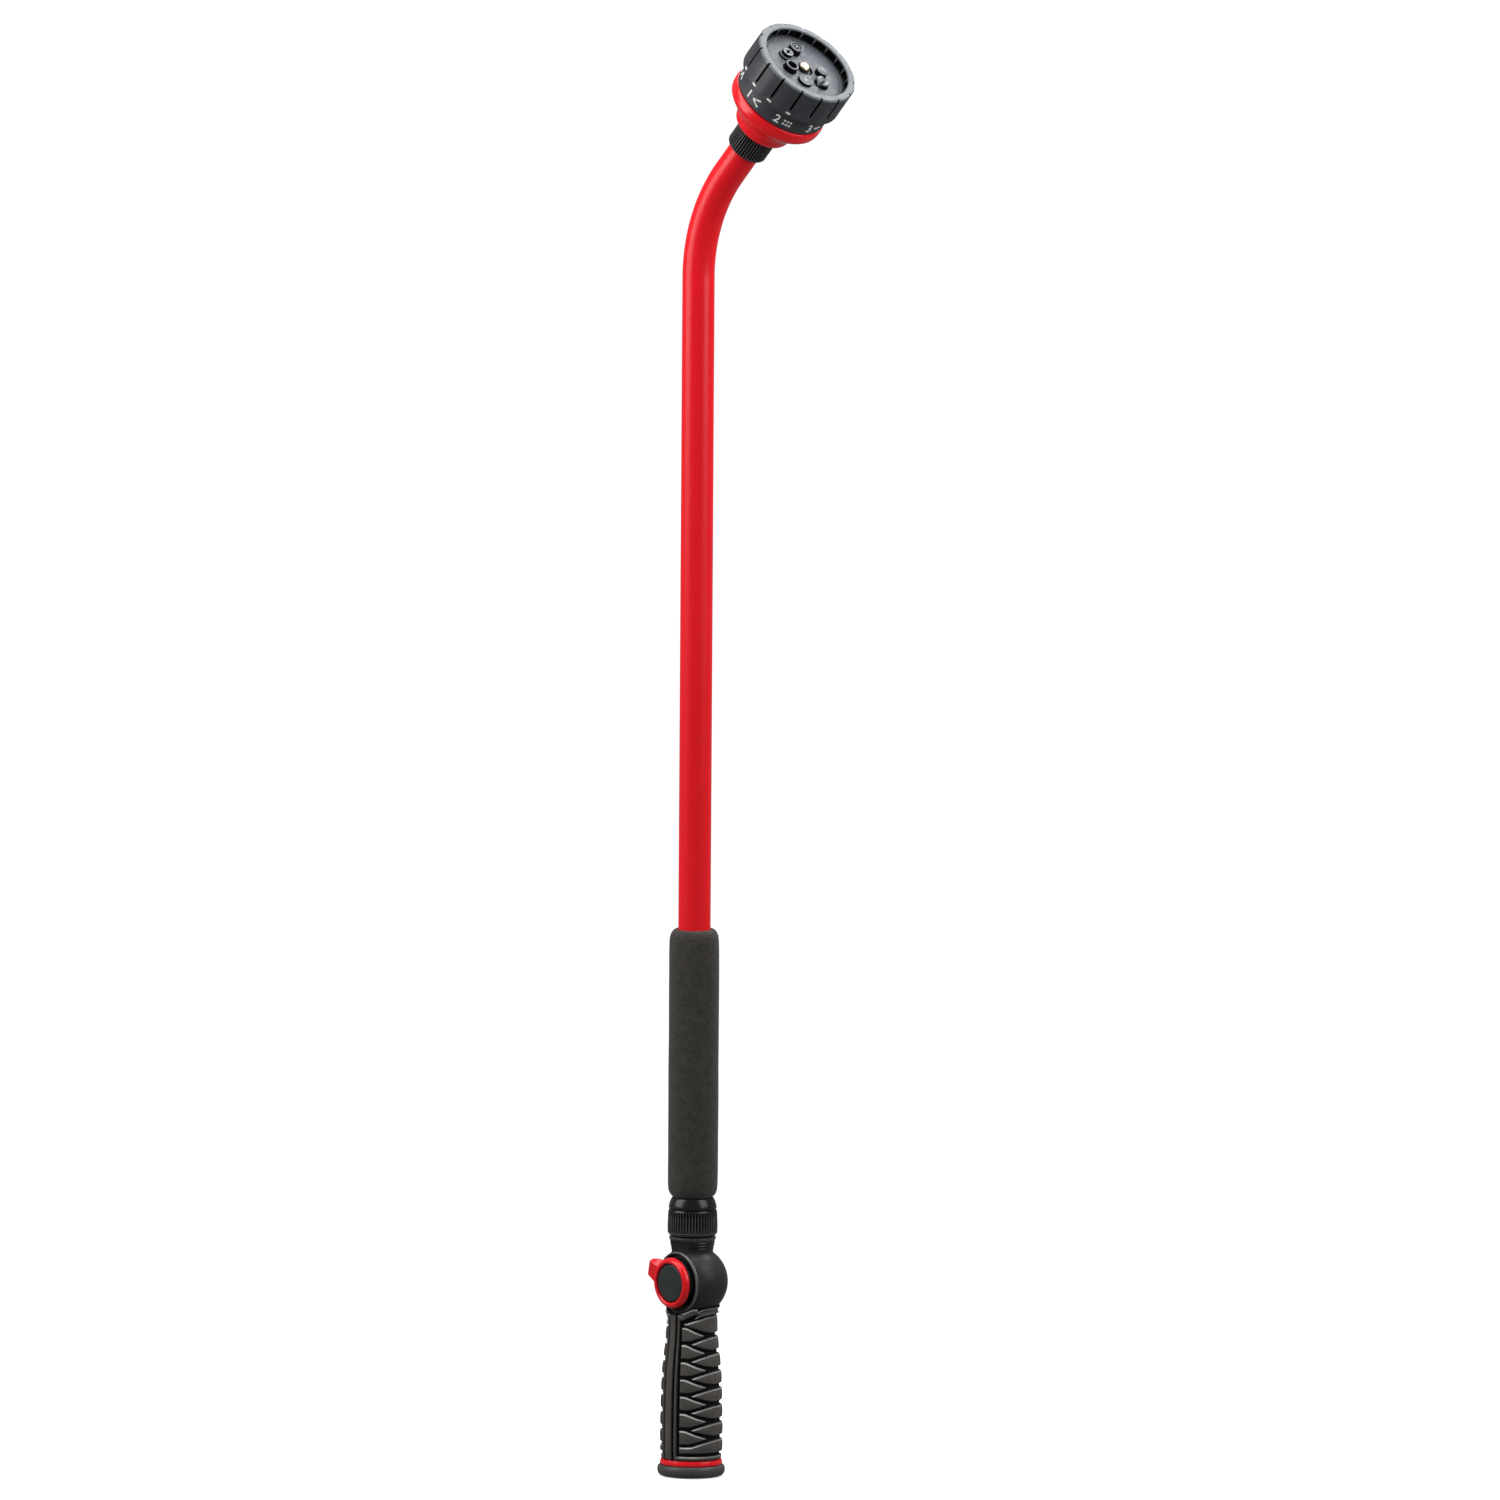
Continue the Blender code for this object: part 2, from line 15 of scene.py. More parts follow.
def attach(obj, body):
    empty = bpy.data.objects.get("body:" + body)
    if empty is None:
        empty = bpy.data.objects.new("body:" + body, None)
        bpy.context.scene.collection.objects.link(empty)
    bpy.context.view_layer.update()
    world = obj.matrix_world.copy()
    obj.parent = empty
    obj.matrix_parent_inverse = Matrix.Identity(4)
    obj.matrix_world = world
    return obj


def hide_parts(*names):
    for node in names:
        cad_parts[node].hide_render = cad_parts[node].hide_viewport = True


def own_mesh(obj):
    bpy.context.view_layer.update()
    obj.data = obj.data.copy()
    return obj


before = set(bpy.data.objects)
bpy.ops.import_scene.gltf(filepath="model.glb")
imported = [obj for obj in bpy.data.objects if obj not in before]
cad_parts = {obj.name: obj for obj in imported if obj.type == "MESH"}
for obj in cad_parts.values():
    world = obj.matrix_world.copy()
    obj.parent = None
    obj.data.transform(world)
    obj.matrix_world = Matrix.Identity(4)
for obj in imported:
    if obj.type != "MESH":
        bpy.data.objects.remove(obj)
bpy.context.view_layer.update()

# ---- frames of the wand's parts

BEND_START, BEND_RADIUS, BEND_ANGLE, TUBE_END = 709.5, 100.0, math.radians(40), 25.4
BEND_END = (BEND_RADIUS * (1 - math.cos(BEND_ANGLE)),
            BEND_START + BEND_RADIUS * math.sin(BEND_ANGLE))
HANDLE_TURN = math.radians(-9.7)  # how far the handle is turned about the tube
VALVE_HEIGHT = 115.0
QUARTER = math.radians(90)

TUBE = Matrix.Identity(4)
HANDLE = Matrix.Rotation(HANDLE_TURN, 4, "Z")
VALVE = (HANDLE @ Matrix.Translation((0, 0, VALVE_HEIGHT / 1000))
         @ Matrix.Rotation(QUARTER, 4, "X"))
HEAD = (Matrix.Translation((BEND_END[0] / 1000, 0, BEND_END[1] / 1000))
        @ Matrix.Rotation(BEND_ANGLE, 4, "Y"))

# ---- materials


class Shader:
    """A Principled material whose colour, roughness and bump come from object-space nodes."""

    def __init__(self, name, metallic=0.0, coat=0.0, coat_roughness=0.1, sheen=0.0,
                 specular=0.5):
        self.material = bpy.data.materials.new(name)
        self.material.use_nodes = True
        self.tree = self.material.node_tree
        self.out = self.tree.nodes["Principled BSDF"]
        for socket, value in (("Metallic", metallic), ("Coat Weight", coat),
                              ("Coat Roughness", coat_roughness), ("Sheen Weight", sheen),
                              ("Specular IOR Level", specular)):
            self.out.inputs[socket].default_value = value
        self.place = self.node("ShaderNodeTexCoord").outputs["Object"]
        self.normal = None

    def node(self, kind, **values):
        made = self.tree.nodes.new(kind)
        for key, value in values.items():
            setattr(made, key, value)
        return made

    def link(self, start, end):
        self.tree.links.new(start, end)

    def stretched(self, scale):
        """Object coordinates in millimetres, squeezed by a factor along each axis."""
        made = self.node("ShaderNodeMapping")
        made.inputs["Scale"].default_value = [1000 * part for part in scale]
        self.link(self.place, made.inputs["Vector"])
        return made.outputs["Vector"]

    def noise(self, size, detail=3.0, scale=(1, 1, 1), roughness=0.55):
        """Noise whose features are about size millimetres across."""
        made = self.node("ShaderNodeTexNoise")
        made.inputs["Scale"].default_value = 1 / size
        made.inputs["Detail"].default_value = detail
        made.inputs["Roughness"].default_value = roughness
        self.link(self.stretched(scale), made.inputs["Vector"])
        return made.outputs["Fac"]

    def cells(self, size):
        """Distance to the middles of round cells about size millimetres across."""
        made = self.node("ShaderNodeTexVoronoi", feature="F1")
        made.inputs["Scale"].default_value = 1 / size
        self.link(self.stretched((1, 1, 1)), made.inputs["Vector"])
        return made.outputs["Distance"]

    def remap(self, value, low, high, start, end):
        made = self.node("ShaderNodeMapRange")
        for key, number in zip(("From Min", "From Max", "To Min", "To Max"),
                               (low, high, start, end)):
            made.inputs[key].default_value = number
        self.link(value, made.inputs["Value"])
        return made.outputs["Result"]

    def clouds(self, size, detail, start=0, end=1):
        """Noise whose usual range is spread out from start to end."""
        return self.remap(self.noise(size, detail), 0.3, 0.7, start, end)

    def blend(self, amount, one, two):
        """A colour between one and two; each is a colour or the output of a node."""
        made = self.node("ShaderNodeMix", data_type="RGBA")
        self.link(amount, made.inputs["Factor"])
        for socket, value in ((made.inputs[6], one), (made.inputs[7], two)):
            if isinstance(value, tuple):
                socket.default_value = (*value, 1)
            else:
                self.link(value, socket)
        return made.outputs[2]

    def colour(self, value):
        self.link(value, self.out.inputs["Base Color"])

    def rough(self, value):
        self.link(value, self.out.inputs["Roughness"])

    def bump(self, height, depth, strength=1.0):
        """Adds a bump; depth is in millimetres."""
        made = self.node("ShaderNodeBump")
        made.inputs["Strength"].default_value = strength
        made.inputs["Distance"].default_value = depth / 1000
        self.link(height, made.inputs["Height"])
        if self.normal:
            self.link(self.normal, made.inputs["Normal"])
        self.normal = made.outputs["Normal"]
        self.link(self.normal, self.out.inputs["Normal"])

    def worn(self, colour, edge, amount=0.5):
        """The colour, lighter along edges that get rubbed, broken up by noise."""
        point = self.node("ShaderNodeNewGeometry").outputs["Pointiness"]
        rubbed = self.remap(point, 0.515, 0.56, 0.0, amount)
        patchy = self.node("ShaderNodeMath", operation="MULTIPLY", use_clamp=True)
        self.link(rubbed, patchy.inputs[0])
        self.link(self.remap(self.noise(2.5, 4), 0.38, 0.6, 0.3, 1.0), patchy.inputs[1])
        return self.blend(patchy.outputs[0], colour, edge)


def moulded(name, dark, light, roughness, grain=0.16, depth=0.02, coat=0.0, edge=None,
            wear=0.5, specular=0.2):
    """Injection-moulded plastic: cloudy colour, spark-eroded grain, uneven shine."""
    made = Shader(name, coat=coat, coat_roughness=0.18, specular=specular)
    tone = made.blend(made.clouds(7, 4), dark, light)
    if edge:
        tone = made.worn(tone, edge, wear)
    made.colour(tone)
    made.rough(made.clouds(3.2, 5, roughness - 0.06, roughness + 0.07))
    made.bump(made.noise(grain, 2, roughness=0.7), depth, 0.35)
    made.bump(made.noise(9, 2), 0.06, 0.25)
    return made.material


def enamel(name, deep, bright, roughness, coat, peel, along=1.0):
    """Glossy red finish: slight orange peel and faint marks in its shine, which are drawn
    out up and down where along is small."""
    made = Shader(name, coat=coat, coat_roughness=0.15, specular=0.3)
    made.colour(made.blend(made.clouds(60, 1), deep, bright))
    marks = made.noise(9, 2, scale=(1, 1, along))
    made.rough(made.remap(marks, 0.3, 0.75, roughness - 0.01, roughness + 0.02))
    made.bump(made.noise(peel, 1), 0.004, 0.05)
    return made.material


def grip_material():
    """Soft rubber: dull in its grooves, which painted shade makes near-black, with a painted
    highlight along the upper edges of the raised shapes."""
    made = Shader("soft_overmould_rubber", sheen=0.02, specular=0.2)
    tone = made.blend(made.clouds(7, 4), (0.080, 0.074, 0.068), (0.104, 0.096, 0.089))
    # painted shade: near-black where the surface sinks into the grooves
    depth = made.node("ShaderNodeAttribute", attribute_name="raised").outputs["Fac"]
    tone = made.blend(made.remap(depth, 0.25, 0.95, 0, 1), (0.0045, 0.0042, 0.004), tone)
    # painted highlight: a light grey laid along the upper edges of the raised shapes, broken up
    # by noise
    rubbed = made.node("ShaderNodeMath", operation="MULTIPLY", use_clamp=True)
    made.link(made.node("ShaderNodeAttribute", attribute_name="painted_edge_highlight").outputs["Fac"],
              rubbed.inputs[0])
    made.link(made.remap(made.noise(2.5, 3), 0.3, 0.6, 0.75, 1.0), rubbed.inputs[1])
    made.colour(made.blend(rubbed.outputs[0], tone, (0.62, 0.61, 0.59)))
    grain = made.clouds(3.2, 5, 0.42, 0.54)
    dull = made.node("ShaderNodeMath", operation="MAXIMUM")
    made.link(made.remap(depth, 0.25, 0.95, 0.95, 0.42), dull.inputs[0])
    made.link(grain, dull.inputs[1])
    made.rough(dull.outputs[0])
    made.bump(made.noise(0.2, 2, roughness=0.7), 0.03, 0.35)
    made.bump(made.noise(9, 2), 0.06, 0.25)
    return made.material


def foam_material():
    """Closed-cell foam: fine pores, darkened in their pits by painted shade, over a slightly
    mottled charcoal.
    """
    made = Shader("foam_rubber", sheen=0.12, specular=0.2)
    # painted shade: darker towards the middles of the cells, the pits of the bump below
    pore_shade = made.remap(made.cells(0.62), 0.1, 0.62, 0, 1)
    mottle = made.blend(made.remap(made.noise(5, 5), 0.32, 0.68, 0, 1),
                        (0.047, 0.043, 0.038), (0.068, 0.062, 0.0555))
    made.colour(made.blend(pore_shade, (0.020, 0.018, 0.016), mottle))
    made.rough(made.clouds(1.3, 3, 0.86, 1.0))
    made.bump(made.noise(2.2, 4), 0.16, 0.5)
    made.bump(made.cells(0.62), 0.22, 0.8)
    return made.material


def metal(name, dark, light, roughness, scale=(1, 1, 1)):
    """Turned or drawn metal with fine tool marks."""
    made = Shader(name, metallic=1.0)
    made.colour(made.blend(made.clouds(2.0, 4), dark, light))
    marks = made.noise(0.3, 3, scale=scale)
    made.rough(made.remap(marks, 0.3, 0.7, roughness - 0.07, roughness + 0.1))
    made.bump(marks, 0.01, 0.3)
    return made.material


def rubber(name, dark, light, roughness):
    """Dull moulded rubber with a fine texture."""
    made = Shader(name)
    made.colour(made.blend(made.clouds(1.5, 4), dark, light))
    made.rough(made.clouds(0.8, 4, roughness - 0.08, roughness + 0.08))
    made.bump(made.noise(0.25, 3), 0.02, 0.4)
    return made.material


TUBE_RED = enamel("tube_enamel", (0.87, 0.006, 0.014), (0.92, 0.008, 0.018), 0.27, 0.06, 3, 0.1)
GLOSS_RED = enamel("gloss_red_plastic", (0.87, 0.006, 0.013), (0.93, 0.009, 0.018), 0.22, 0.25, 5)
GRIP_BLACK = grip_material()
FLANGE = moulded("flange_charcoal", (0.062, 0.059, 0.056), (0.08, 0.076, 0.073), 0.36,
                 edge=(0.16, 0.155, 0.15), specular=0.3)
HOUSING = moulded("charcoal_nylon", (0.027, 0.0255, 0.0245), (0.034, 0.0325, 0.0315), 0.38,
                  edge=(0.10, 0.10, 0.10))
CAP_BLACK = moulded("cap_satin", (0.026, 0.037, 0.034), (0.034, 0.046, 0.0425), 0.34, 0.14, 0.015)
NUT_BLACK = moulded("nut_black", (0.009, 0.0085, 0.008), (0.013, 0.0125, 0.012), 0.27, 0.14,
                    0.012, coat=0.3, edge=(0.06, 0.058, 0.055))
# painted highlight: a lighter black laid on rib tops and lips so that they read as lit lines
RIB_HIGHLIGHT = moulded("nut_rib_painted_highlight", (0.052, 0.051, 0.050), (0.068, 0.066, 0.065), 0.3, 0.14,
                    0.01, edge=(0.09, 0.088, 0.085), specular=0.3)
# painted highlight: a lighter grey on the valve rim's outer edge, standing in for the light
# crescent there
RIM_HIGHLIGHT = moulded("valve_rim_painted_highlight", (0.10, 0.104, 0.102), (0.13, 0.134, 0.132), 0.26, 0.14,
                   0.01, coat=0.3, edge=(0.15, 0.155, 0.15), specular=0.5)
DIAL = moulded("dial_charcoal", (0.042, 0.0445, 0.050), (0.053, 0.056, 0.062), 0.40,
               edge=(0.15, 0.155, 0.165))
# painted highlight: a lighter grey than the face, for the dial rim's outward faces and the ribs
# inside the recess
LIP_HIGHLIGHT = moulded("dial_lip_painted_highlight", (0.125, 0.138, 0.155), (0.155, 0.168, 0.185), 0.46,
              edge=(0.4, 0.42, 0.45))
FACE = moulded("face_grey", (0.066, 0.073, 0.086), (0.082, 0.09, 0.104), 0.48, 0.18, 0.02,
               edge=(0.3, 0.32, 0.35), wear=0.4)
NOZZLE = moulded("nozzle_grey", (0.13, 0.142, 0.16), (0.17, 0.182, 0.20), 0.40, 0.14, 0.012,
                 edge=(0.5, 0.52, 0.55), wear=0.8)
# near-black: the real colour of the inner parts, and painted shade where it is laid on grooves,
# windows, pits and nozzle sides
BLACK_AND_SHADE = moulded("inner_black_and_painted_shade", (0.003, 0.003, 0.0035), (0.006, 0.006, 0.0065), 0.6, specular=0.1)
MARKS = moulded("printed_white", (0.78, 0.78, 0.76), (0.86, 0.86, 0.84), 0.5, 0.3, 0.01)
FOAM = foam_material()
SEAL = rubber("seal_rubber", (0.012, 0.012, 0.012), (0.02, 0.02, 0.02), 0.6)
SEAT = moulded("seat_ptfe", (0.72, 0.72, 0.70), (0.82, 0.82, 0.80), 0.38)
STEEL = metal("stainless", (0.52, 0.52, 0.53), (0.66, 0.66, 0.67), 0.28, (1, 1, 0.1))
BRASS = metal("plated_brass", (0.62, 0.54, 0.36), (0.78, 0.70, 0.50), 0.36, (1, 0.1, 1))

# ---- shapes


def polar(reach, turn):
    return reach * math.cos(turn), reach * math.sin(turn)


def bridge(made, one, two):
    """Quads between two rings of as many points."""
    for i in range(len(one)):
        j = (i + 1) % len(one)
        made.faces.new((one[i], one[j], two[j], two[i]))


def bar_of(made, rings):
    """Bridges a row of rings and closes its two ends."""
    for one, two in zip(rings, rings[1:]):
        bridge(made, one, two)
    made.faces.new(rings[0])
    made.faces.new(rings[-1])
    return made


def to_mesh(shape, name):
    mesh = bpy.data.meshes.new(name)
    shape.to_mesh(mesh)
    shape.free()
    return mesh


def added(name, data):
    """A new object in the scene."""
    made = bpy.data.objects.new(name, data)
    bpy.context.scene.collection.objects.link(made)
    return made


def rounded(corners, steps=4):
    """A closed profile of (radius, height) corners; a third number rounds that corner."""
    made = []
    count = len(corners)
    for i, corner in enumerate(corners):
        here = Vector(corner[:2])
        if len(corner) < 3:
            made.append(tuple(here))
            continue
        before = Vector(corners[i - 1][:2]) - here
        after = Vector(corners[(i + 1) % count][:2]) - here
        reach = min(corner[2], 0.48 * before.length, 0.48 * after.length)
        start = here + before.normalized() * reach
        end = here + after.normalized() * reach
        for k in range(steps + 1):
            t = k / steps
            made.append(tuple(start * (1 - t) ** 2 + here * 2 * t * (1 - t) + end * t ** 2))
    return made


def lathe(profile, steps=96, shape=None):
    """A closed profile of (radius, height) points swept around Z; shape(radius, height,
    angle) may change the radius."""
    made = bmesh.new()
    rings = []
    for radius, height in profile:
        if radius < 1e-6:
            rings.append([made.verts.new((0, 0, height))])
            continue
        rings.append([])
        for step in range(steps):
            angle = math.tau * step / steps
            reach = shape(radius, height, angle) if shape else radius
            rings[-1].append(made.verts.new((*polar(reach, angle), height)))
    for one, two in zip(rings, rings[1:] + rings[:1]):
        if len(one) == 1 and len(two) == 1:
            continue
        for step in range(steps):
            after = (step + 1) % steps
            if len(one) == 1:
                made.faces.new((one[0], two[step], two[after]))
            elif len(two) == 1:
                made.faces.new((one[step], two[0], one[after]))
            else:
                made.faces.new((one[step], two[step], two[after], one[after]))
    return made


def wire(centres, across, radius, sides):
    """A round wire along a list of points, each with the two directions across it."""
    made = bmesh.new()
    rings = []
    for centre, (one, two) in zip(centres, across):
        rings.append([made.verts.new([centre[k] + one[k] * x + two[k] * y for k in range(3)])
                      for x, y in circle(radius, sides)])
    return bar_of(made, rings)


def prism(outline, low, high):
    """A flat outline drawn out from one height to another."""
    made = bmesh.new()
    below = [made.verts.new((x, y, low)) for x, y in outline]
    above = [made.verts.new((x, y, high)) for x, y in outline]
    made.faces.new(below)
    made.faces.new(above)
    bridge(made, below, above)
    return made


def circle(radius, steps, x=0.0, y=0.0):
    turns = [math.tau * i / steps for i in range(steps)]
    return [(x + radius * math.cos(turn), y + radius * math.sin(turn)) for turn in turns]


def merged(*parts):
    """Several shapes in one."""
    made = bmesh.new()
    for part in parts:
        carrier = to_mesh(part, "carrier")
        made.from_mesh(carrier)
        bpy.data.meshes.remove(carrier)
    return made


def moved(shape, place=(0, 0, 0), turn=0.0):
    bmesh.ops.rotate(shape, cent=(0, 0, 0), matrix=Matrix.Rotation(turn, 3, "Z"),
                     verts=shape.verts)
    bmesh.ops.translate(shape, vec=place, verts=shape.verts)
    return shape


def tipped(shape):
    """The shape laid over, so that its Z points along -Y."""
    bmesh.ops.rotate(shape, cent=(0, 0, 0), matrix=Matrix.Rotation(QUARTER, 3, "X"),
                     verts=shape.verts)
    return shape


def cut(shape, tool):
    """The shape with the tool cut out of it, as a new shape."""
    objects = []
    for part in (shape, tool):
        bmesh.ops.recalc_face_normals(part, faces=part.faces)
        objects.append(added("cut", to_mesh(part, "cut")))
    step = objects[0].modifiers.new("cut", "BOOLEAN")
    step.object = objects[1]
    step.operation = "DIFFERENCE"
    step.solver = "EXACT"
    bpy.context.view_layer.update()
    solid = objects[0].evaluated_get(bpy.context.evaluated_depsgraph_get())
    made = bmesh.new()
    made.from_mesh(solid.to_mesh())
    solid.to_mesh_clear()
    for carrier in objects:
        mesh = carrier.data
        bpy.data.objects.remove(carrier)
        bpy.data.meshes.remove(mesh)
    return made


def finished(name, mesh, look, where, body, nodes, sharp, weighted=True):
    """Places a mesh, smooth but for edges sharper than an angle, as a piece of the wand."""
    mesh.shade_smooth()
    mesh.set_sharp_from_angle(angle=math.radians(sharp))
    made = added(name, mesh)
    mesh.transform(where)
    mesh.materials.append(look)
    if weighted:
        made.modifiers.new("even_normals", "WEIGHTED_NORMAL").keep_sharp = True
    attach(made, body)
    if nodes:
        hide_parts(*nodes)
    return made


def piece(name, shape, look, where, body, nodes, sharp=32, others=()):
    """Turns a shape in millimetres into an object of the wand. others are pairs of another
    material and a test of a face's middle and direction that tells where it goes."""
    bmesh.ops.recalc_face_normals(shape, faces=shape.faces)
    for index, (_, test) in enumerate(others, 1):
        for face in shape.faces:
            if test(face.calc_center_median(), face.normal):
                face.material_index = index
    bmesh.ops.scale(shape, vec=(0.001, 0.001, 0.001), verts=shape.verts)
    mesh = to_mesh(shape, name)
    made = finished(name, mesh, look, where, body, nodes, sharp)
    for other, _ in others:
        mesh.materials.append(other)
    return made


def smooth(value, low, high):
    """0 below low, 1 above high, eased between."""
    t = np.clip((value - low) / (high - low), 0, 1)
    return t * t * (3 - 2 * t)


def wrapped(name, columns, rows, place, inner, look, where, body, nodes):
    """A skin over a grid of angle and height; place gives each point's radius and height,
    and inner closes it at its two ends with (radius, height) rings."""
    angle = np.linspace(0, math.tau, columns, endpoint=False)
    radius, height, *extra = place(*np.meshgrid(angle, np.linspace(0, 1, rows)))
    for reach, level in inner:
        radius = np.vstack([radius, np.full(columns, reach)])
        height = np.vstack([height, np.full(columns, level)])
    points = np.stack([radius * np.cos(angle), radius * np.sin(angle), height], axis=-1)
    total = len(points)
    one = np.arange(total)[:, None] * columns + np.arange(columns)[None]
    two = np.arange(total)[:, None] * columns + (np.arange(columns)[None] + 1) % columns
    up = np.roll(np.arange(total), -1)
    faces = np.stack([one, two, two[up], one[up]], axis=-1).reshape(-1, 4)
    mesh = bpy.data.meshes.new(name)
    mesh.from_pydata((points.reshape(-1, 3) / 1000).tolist(), [], faces.tolist())
    mesh.update()
    for label, values in extra[0].items() if extra else ():
        padded = np.zeros(total * columns)
        padded[:values.size] = values.ravel()
        layer = mesh.attributes.new(label, "FLOAT", "POINT")
        layer.data.foreach_set("value", padded)
    return finished(name, mesh, look, where, body, nodes, 60, weighted=False)


# ---- hose end


def inner_thread(radius, crest, low, high, pitch, steps=72):
    """The helical ridge of a thread on the wall of a bore, fading in and out at its ends."""
    made = bmesh.new()
    turns = (high - low) / pitch
    count = int(turns * steps)
    rings = []
    for i in range(count + 1):
        angle = math.tau * i / steps
        z = low + pitch * i / steps
        fade = min(1.0, i / 20, (count - i) / 20)
        tip = radius - (radius - crest) * fade
        root = radius + 0.3
        rings.append([made.verts.new((*polar(reach, angle), z + lift)) for reach, lift in
                      ((root, -0.85), (tip, -0.15), (tip, 0.15), (root, 0.85))])
    return bar_of(made, rings)


flange = lathe(rounded([
    (13.9, 0.05, 0.3), (17.3, 0.05, 0.6), (18.7, 0.7, 0.8), (19.75, 2.1, 1.2), (20.02, 4.2, 1.4),
    (19.6, 6.0, 0.9), (18.6, 6.85, 0.5), (15.5, 6.85, 0.2), (15.5, 15.8, 0.3), (8.0, 15.8, 0.3),
    (8.0, 13.0, 0.2), (13.4, 13.0, 0.2), (13.4, 0.7, 0.3),
], 6), 128)
piece("hose_socket_flange", merged(flange, inner_thread(13.4, 12.5, 1.9, 9.6, 2.2)),
      FLANGE, HANDLE, "wand", ["inlet_end_cap"])
piece("hose_washer", lathe(rounded([
    (8.4, 10.7, 0.4), (12.7, 10.7, 0.4), (12.7, 12.6, 0.4), (8.4, 12.6, 0.4),
]), 96), SEAL, HANDLE, "wand", ["inlet_washer"])


def woven_screen():
    """A woven wire disc in a rim."""
    parts = [lathe(rounded([(6.9, 13.35, 0.2), (7.6, 13.35, 0.2), (7.6, 14.05, 0.2),
                            (6.9, 14.05, 0.2)], 2), 64)]
    pitch, thick, reach = 0.85, 0.13, 7.1
    for turned in (False, True):
        for i in range(-8, 9):
            offset = i * pitch
            half = math.sqrt(max(reach ** 2 - offset ** 2, 0.5))
            count = max(6, int(half * 2 / pitch * 4))
            centres, across = [], []
            for k in range(count + 1):
                along = -half + 2 * half * k / count
                lift = 13.7 + thick * math.cos(math.pi * (along / pitch + i + turned))
                centres.append((offset, along, lift) if turned else (along, offset, lift))
                across.append((((1, 0, 0) if turned else (0, 1, 0)), (0, 0, 1)))
            parts.append(wire(centres, across, thick, 5))
    return merged(*parts)


piece("filter_screen_mesh", woven_screen(), STEEL, HANDLE, "wand",
      ["inlet_filter_screen"])
piece("red_base_ring", lathe(rounded([
    (15.9, 7.2), (18.4, 7.2, 0.3), (18.35, 8.3, 1.0), (17.9, 10.1, 0.3), (15.9, 10.1),
], 6), 128), GLOSS_RED, HANDLE, "wand", ["accent_ring"])

# ---- soft grip

GRIP_RADII = ((10.4, 17.7), (12.0, 18.0), (15.0, 18.45), (30.0, 18.5), (44.0, 18.2), (53.0, 18.0),
              (62.0, 17.6), (71.0, 16.7), (80.0, 15.6), (89.0, 15.0), (95.0, 14.85),
              (98.0, 15.0), (102.0, 16.2))
GRIP_FOOT = 10.45
GRIP_ARC = 17.4         # radius at which widths around the grip are measured
BALL_CLEARANCE = 21.0   # the grip's top hugs the valve's ball at this radius
RIM_CLEARANCE = 18.6    # and stays this far from the valve's axis, below the lever
GROOVE_DEPTH = 1.6
# Angles from the front spine's middle, in degrees.
SPINE_EDGE, BORDER_START, BORDER_END, FINGER_ROOT, WEDGE_TIP, WEDGE_SPREAD = (
    9.2, 14.3, 20.2, 26.6, 49.3, 56.0)
# Fingers reach back from the border, and wedges between them reach forward from the back.
FINGER_COUNT = 7
FINGER_PITCH = 10.1
FINGER_TOP = 28.2       # upper edge of the lowest whole finger
WEDGE_HALF = 3.65
# Heights around the grip, by angle from the front.
COLLAR = ((0, 94.5), (25, 94.6), (39, 96.2), (54, 97.8), (71, 99.9), (90, 100.6), (180, 100.9))
ARCH = ((26, 90.6), (36, 91.2), (57, 92.9), (91, 95.0), (180, 95.4))
# How far a finger's upper and lower edges close in, by distance from its root.
FINGER_SLOPE = ((2.6, 0), (4.2, 0.35), (9.4, 2.45), (17.0, 4.9))
FINGER_RISE = ((4.8, 0), (6.6, 0.3), (11.8, 1.7), (17.0, 3.4))


def line(value, points):
    return np.interp(value, [p[0] for p in points], [p[1] for p in points])


def grip_relief(side, height):
    """How far inside a raised shape each point of the grip is, in millimetres, below 0 in
    the grooves. side is the angle from the front spine."""
    def arc(angle):
        return np.radians(angle) * GRIP_ARC

    def band(low, high):
        return np.minimum(height - low, high - height)

    collar = line(side, COLLAR)
    beyond_border = arc(side) - arc(BORDER_START)
    from_root = arc(side) - arc(FINGER_ROOT)
    spine = np.where(height < 96.6, arc(SPINE_EDGE) - arc(side), 9.0)
    border = np.minimum(np.minimum(beyond_border, arc(BORDER_END) - arc(side)),
                        np.minimum(height - 11.0, collar - height))
    second = 0.85 * smooth(side, 44, 78)
    shapes = [
        np.minimum(spine, height - 9.0), border,
        np.minimum(band(9.4, 12.9), beyond_border),
        np.minimum(band(collar - 1.7, collar + 1.5), beyond_border),
        band(collar - 3.8 - second, collar - 3.8 + second) - 2 * (1 - smooth(side, 44, 60)),
    ]
    reach = np.clip((side - WEDGE_TIP) / WEDGE_SPREAD, 0, 1)
    opened = 1 - (1 - reach) ** 1.7
    slope, rise = line(from_root, FINGER_SLOPE), line(from_root, FINGER_RISE)
    for k in range(-1, FINGER_COUNT):
        top = FINGER_TOP + FINGER_PITCH * k
        if k >= 0:
            finger = np.minimum(band(top - 7.9 + rise, top - slope), from_root)
            shapes.append(finger * 0.93)
        middle = top + 0.4
        low, high = middle - WEDGE_HALF * opened, middle + WEDGE_HALF * opened
        start = side - WEDGE_TIP
        if k == -1:  # the lowest wedge is a foot that runs right to the border
            low, high = np.full_like(side, 14.9), np.maximum(high, top + 0.2)
            start = from_root
        shapes.append(np.minimum(band(low, high), start * 0.3) * 0.95)
    top = FINGER_TOP + FINGER_PITCH * (FINGER_COUNT - 1)
    low = np.where(side < WEDGE_TIP, top + 2.0 - 0.1 * np.clip(side - 30, 0, 19),
                   top + 0.45 - 3.85 * opened)
    shapes.append(np.minimum(band(low, line(side, ARCH)), from_root) * 0.95)
    return np.maximum.reduce(shapes)


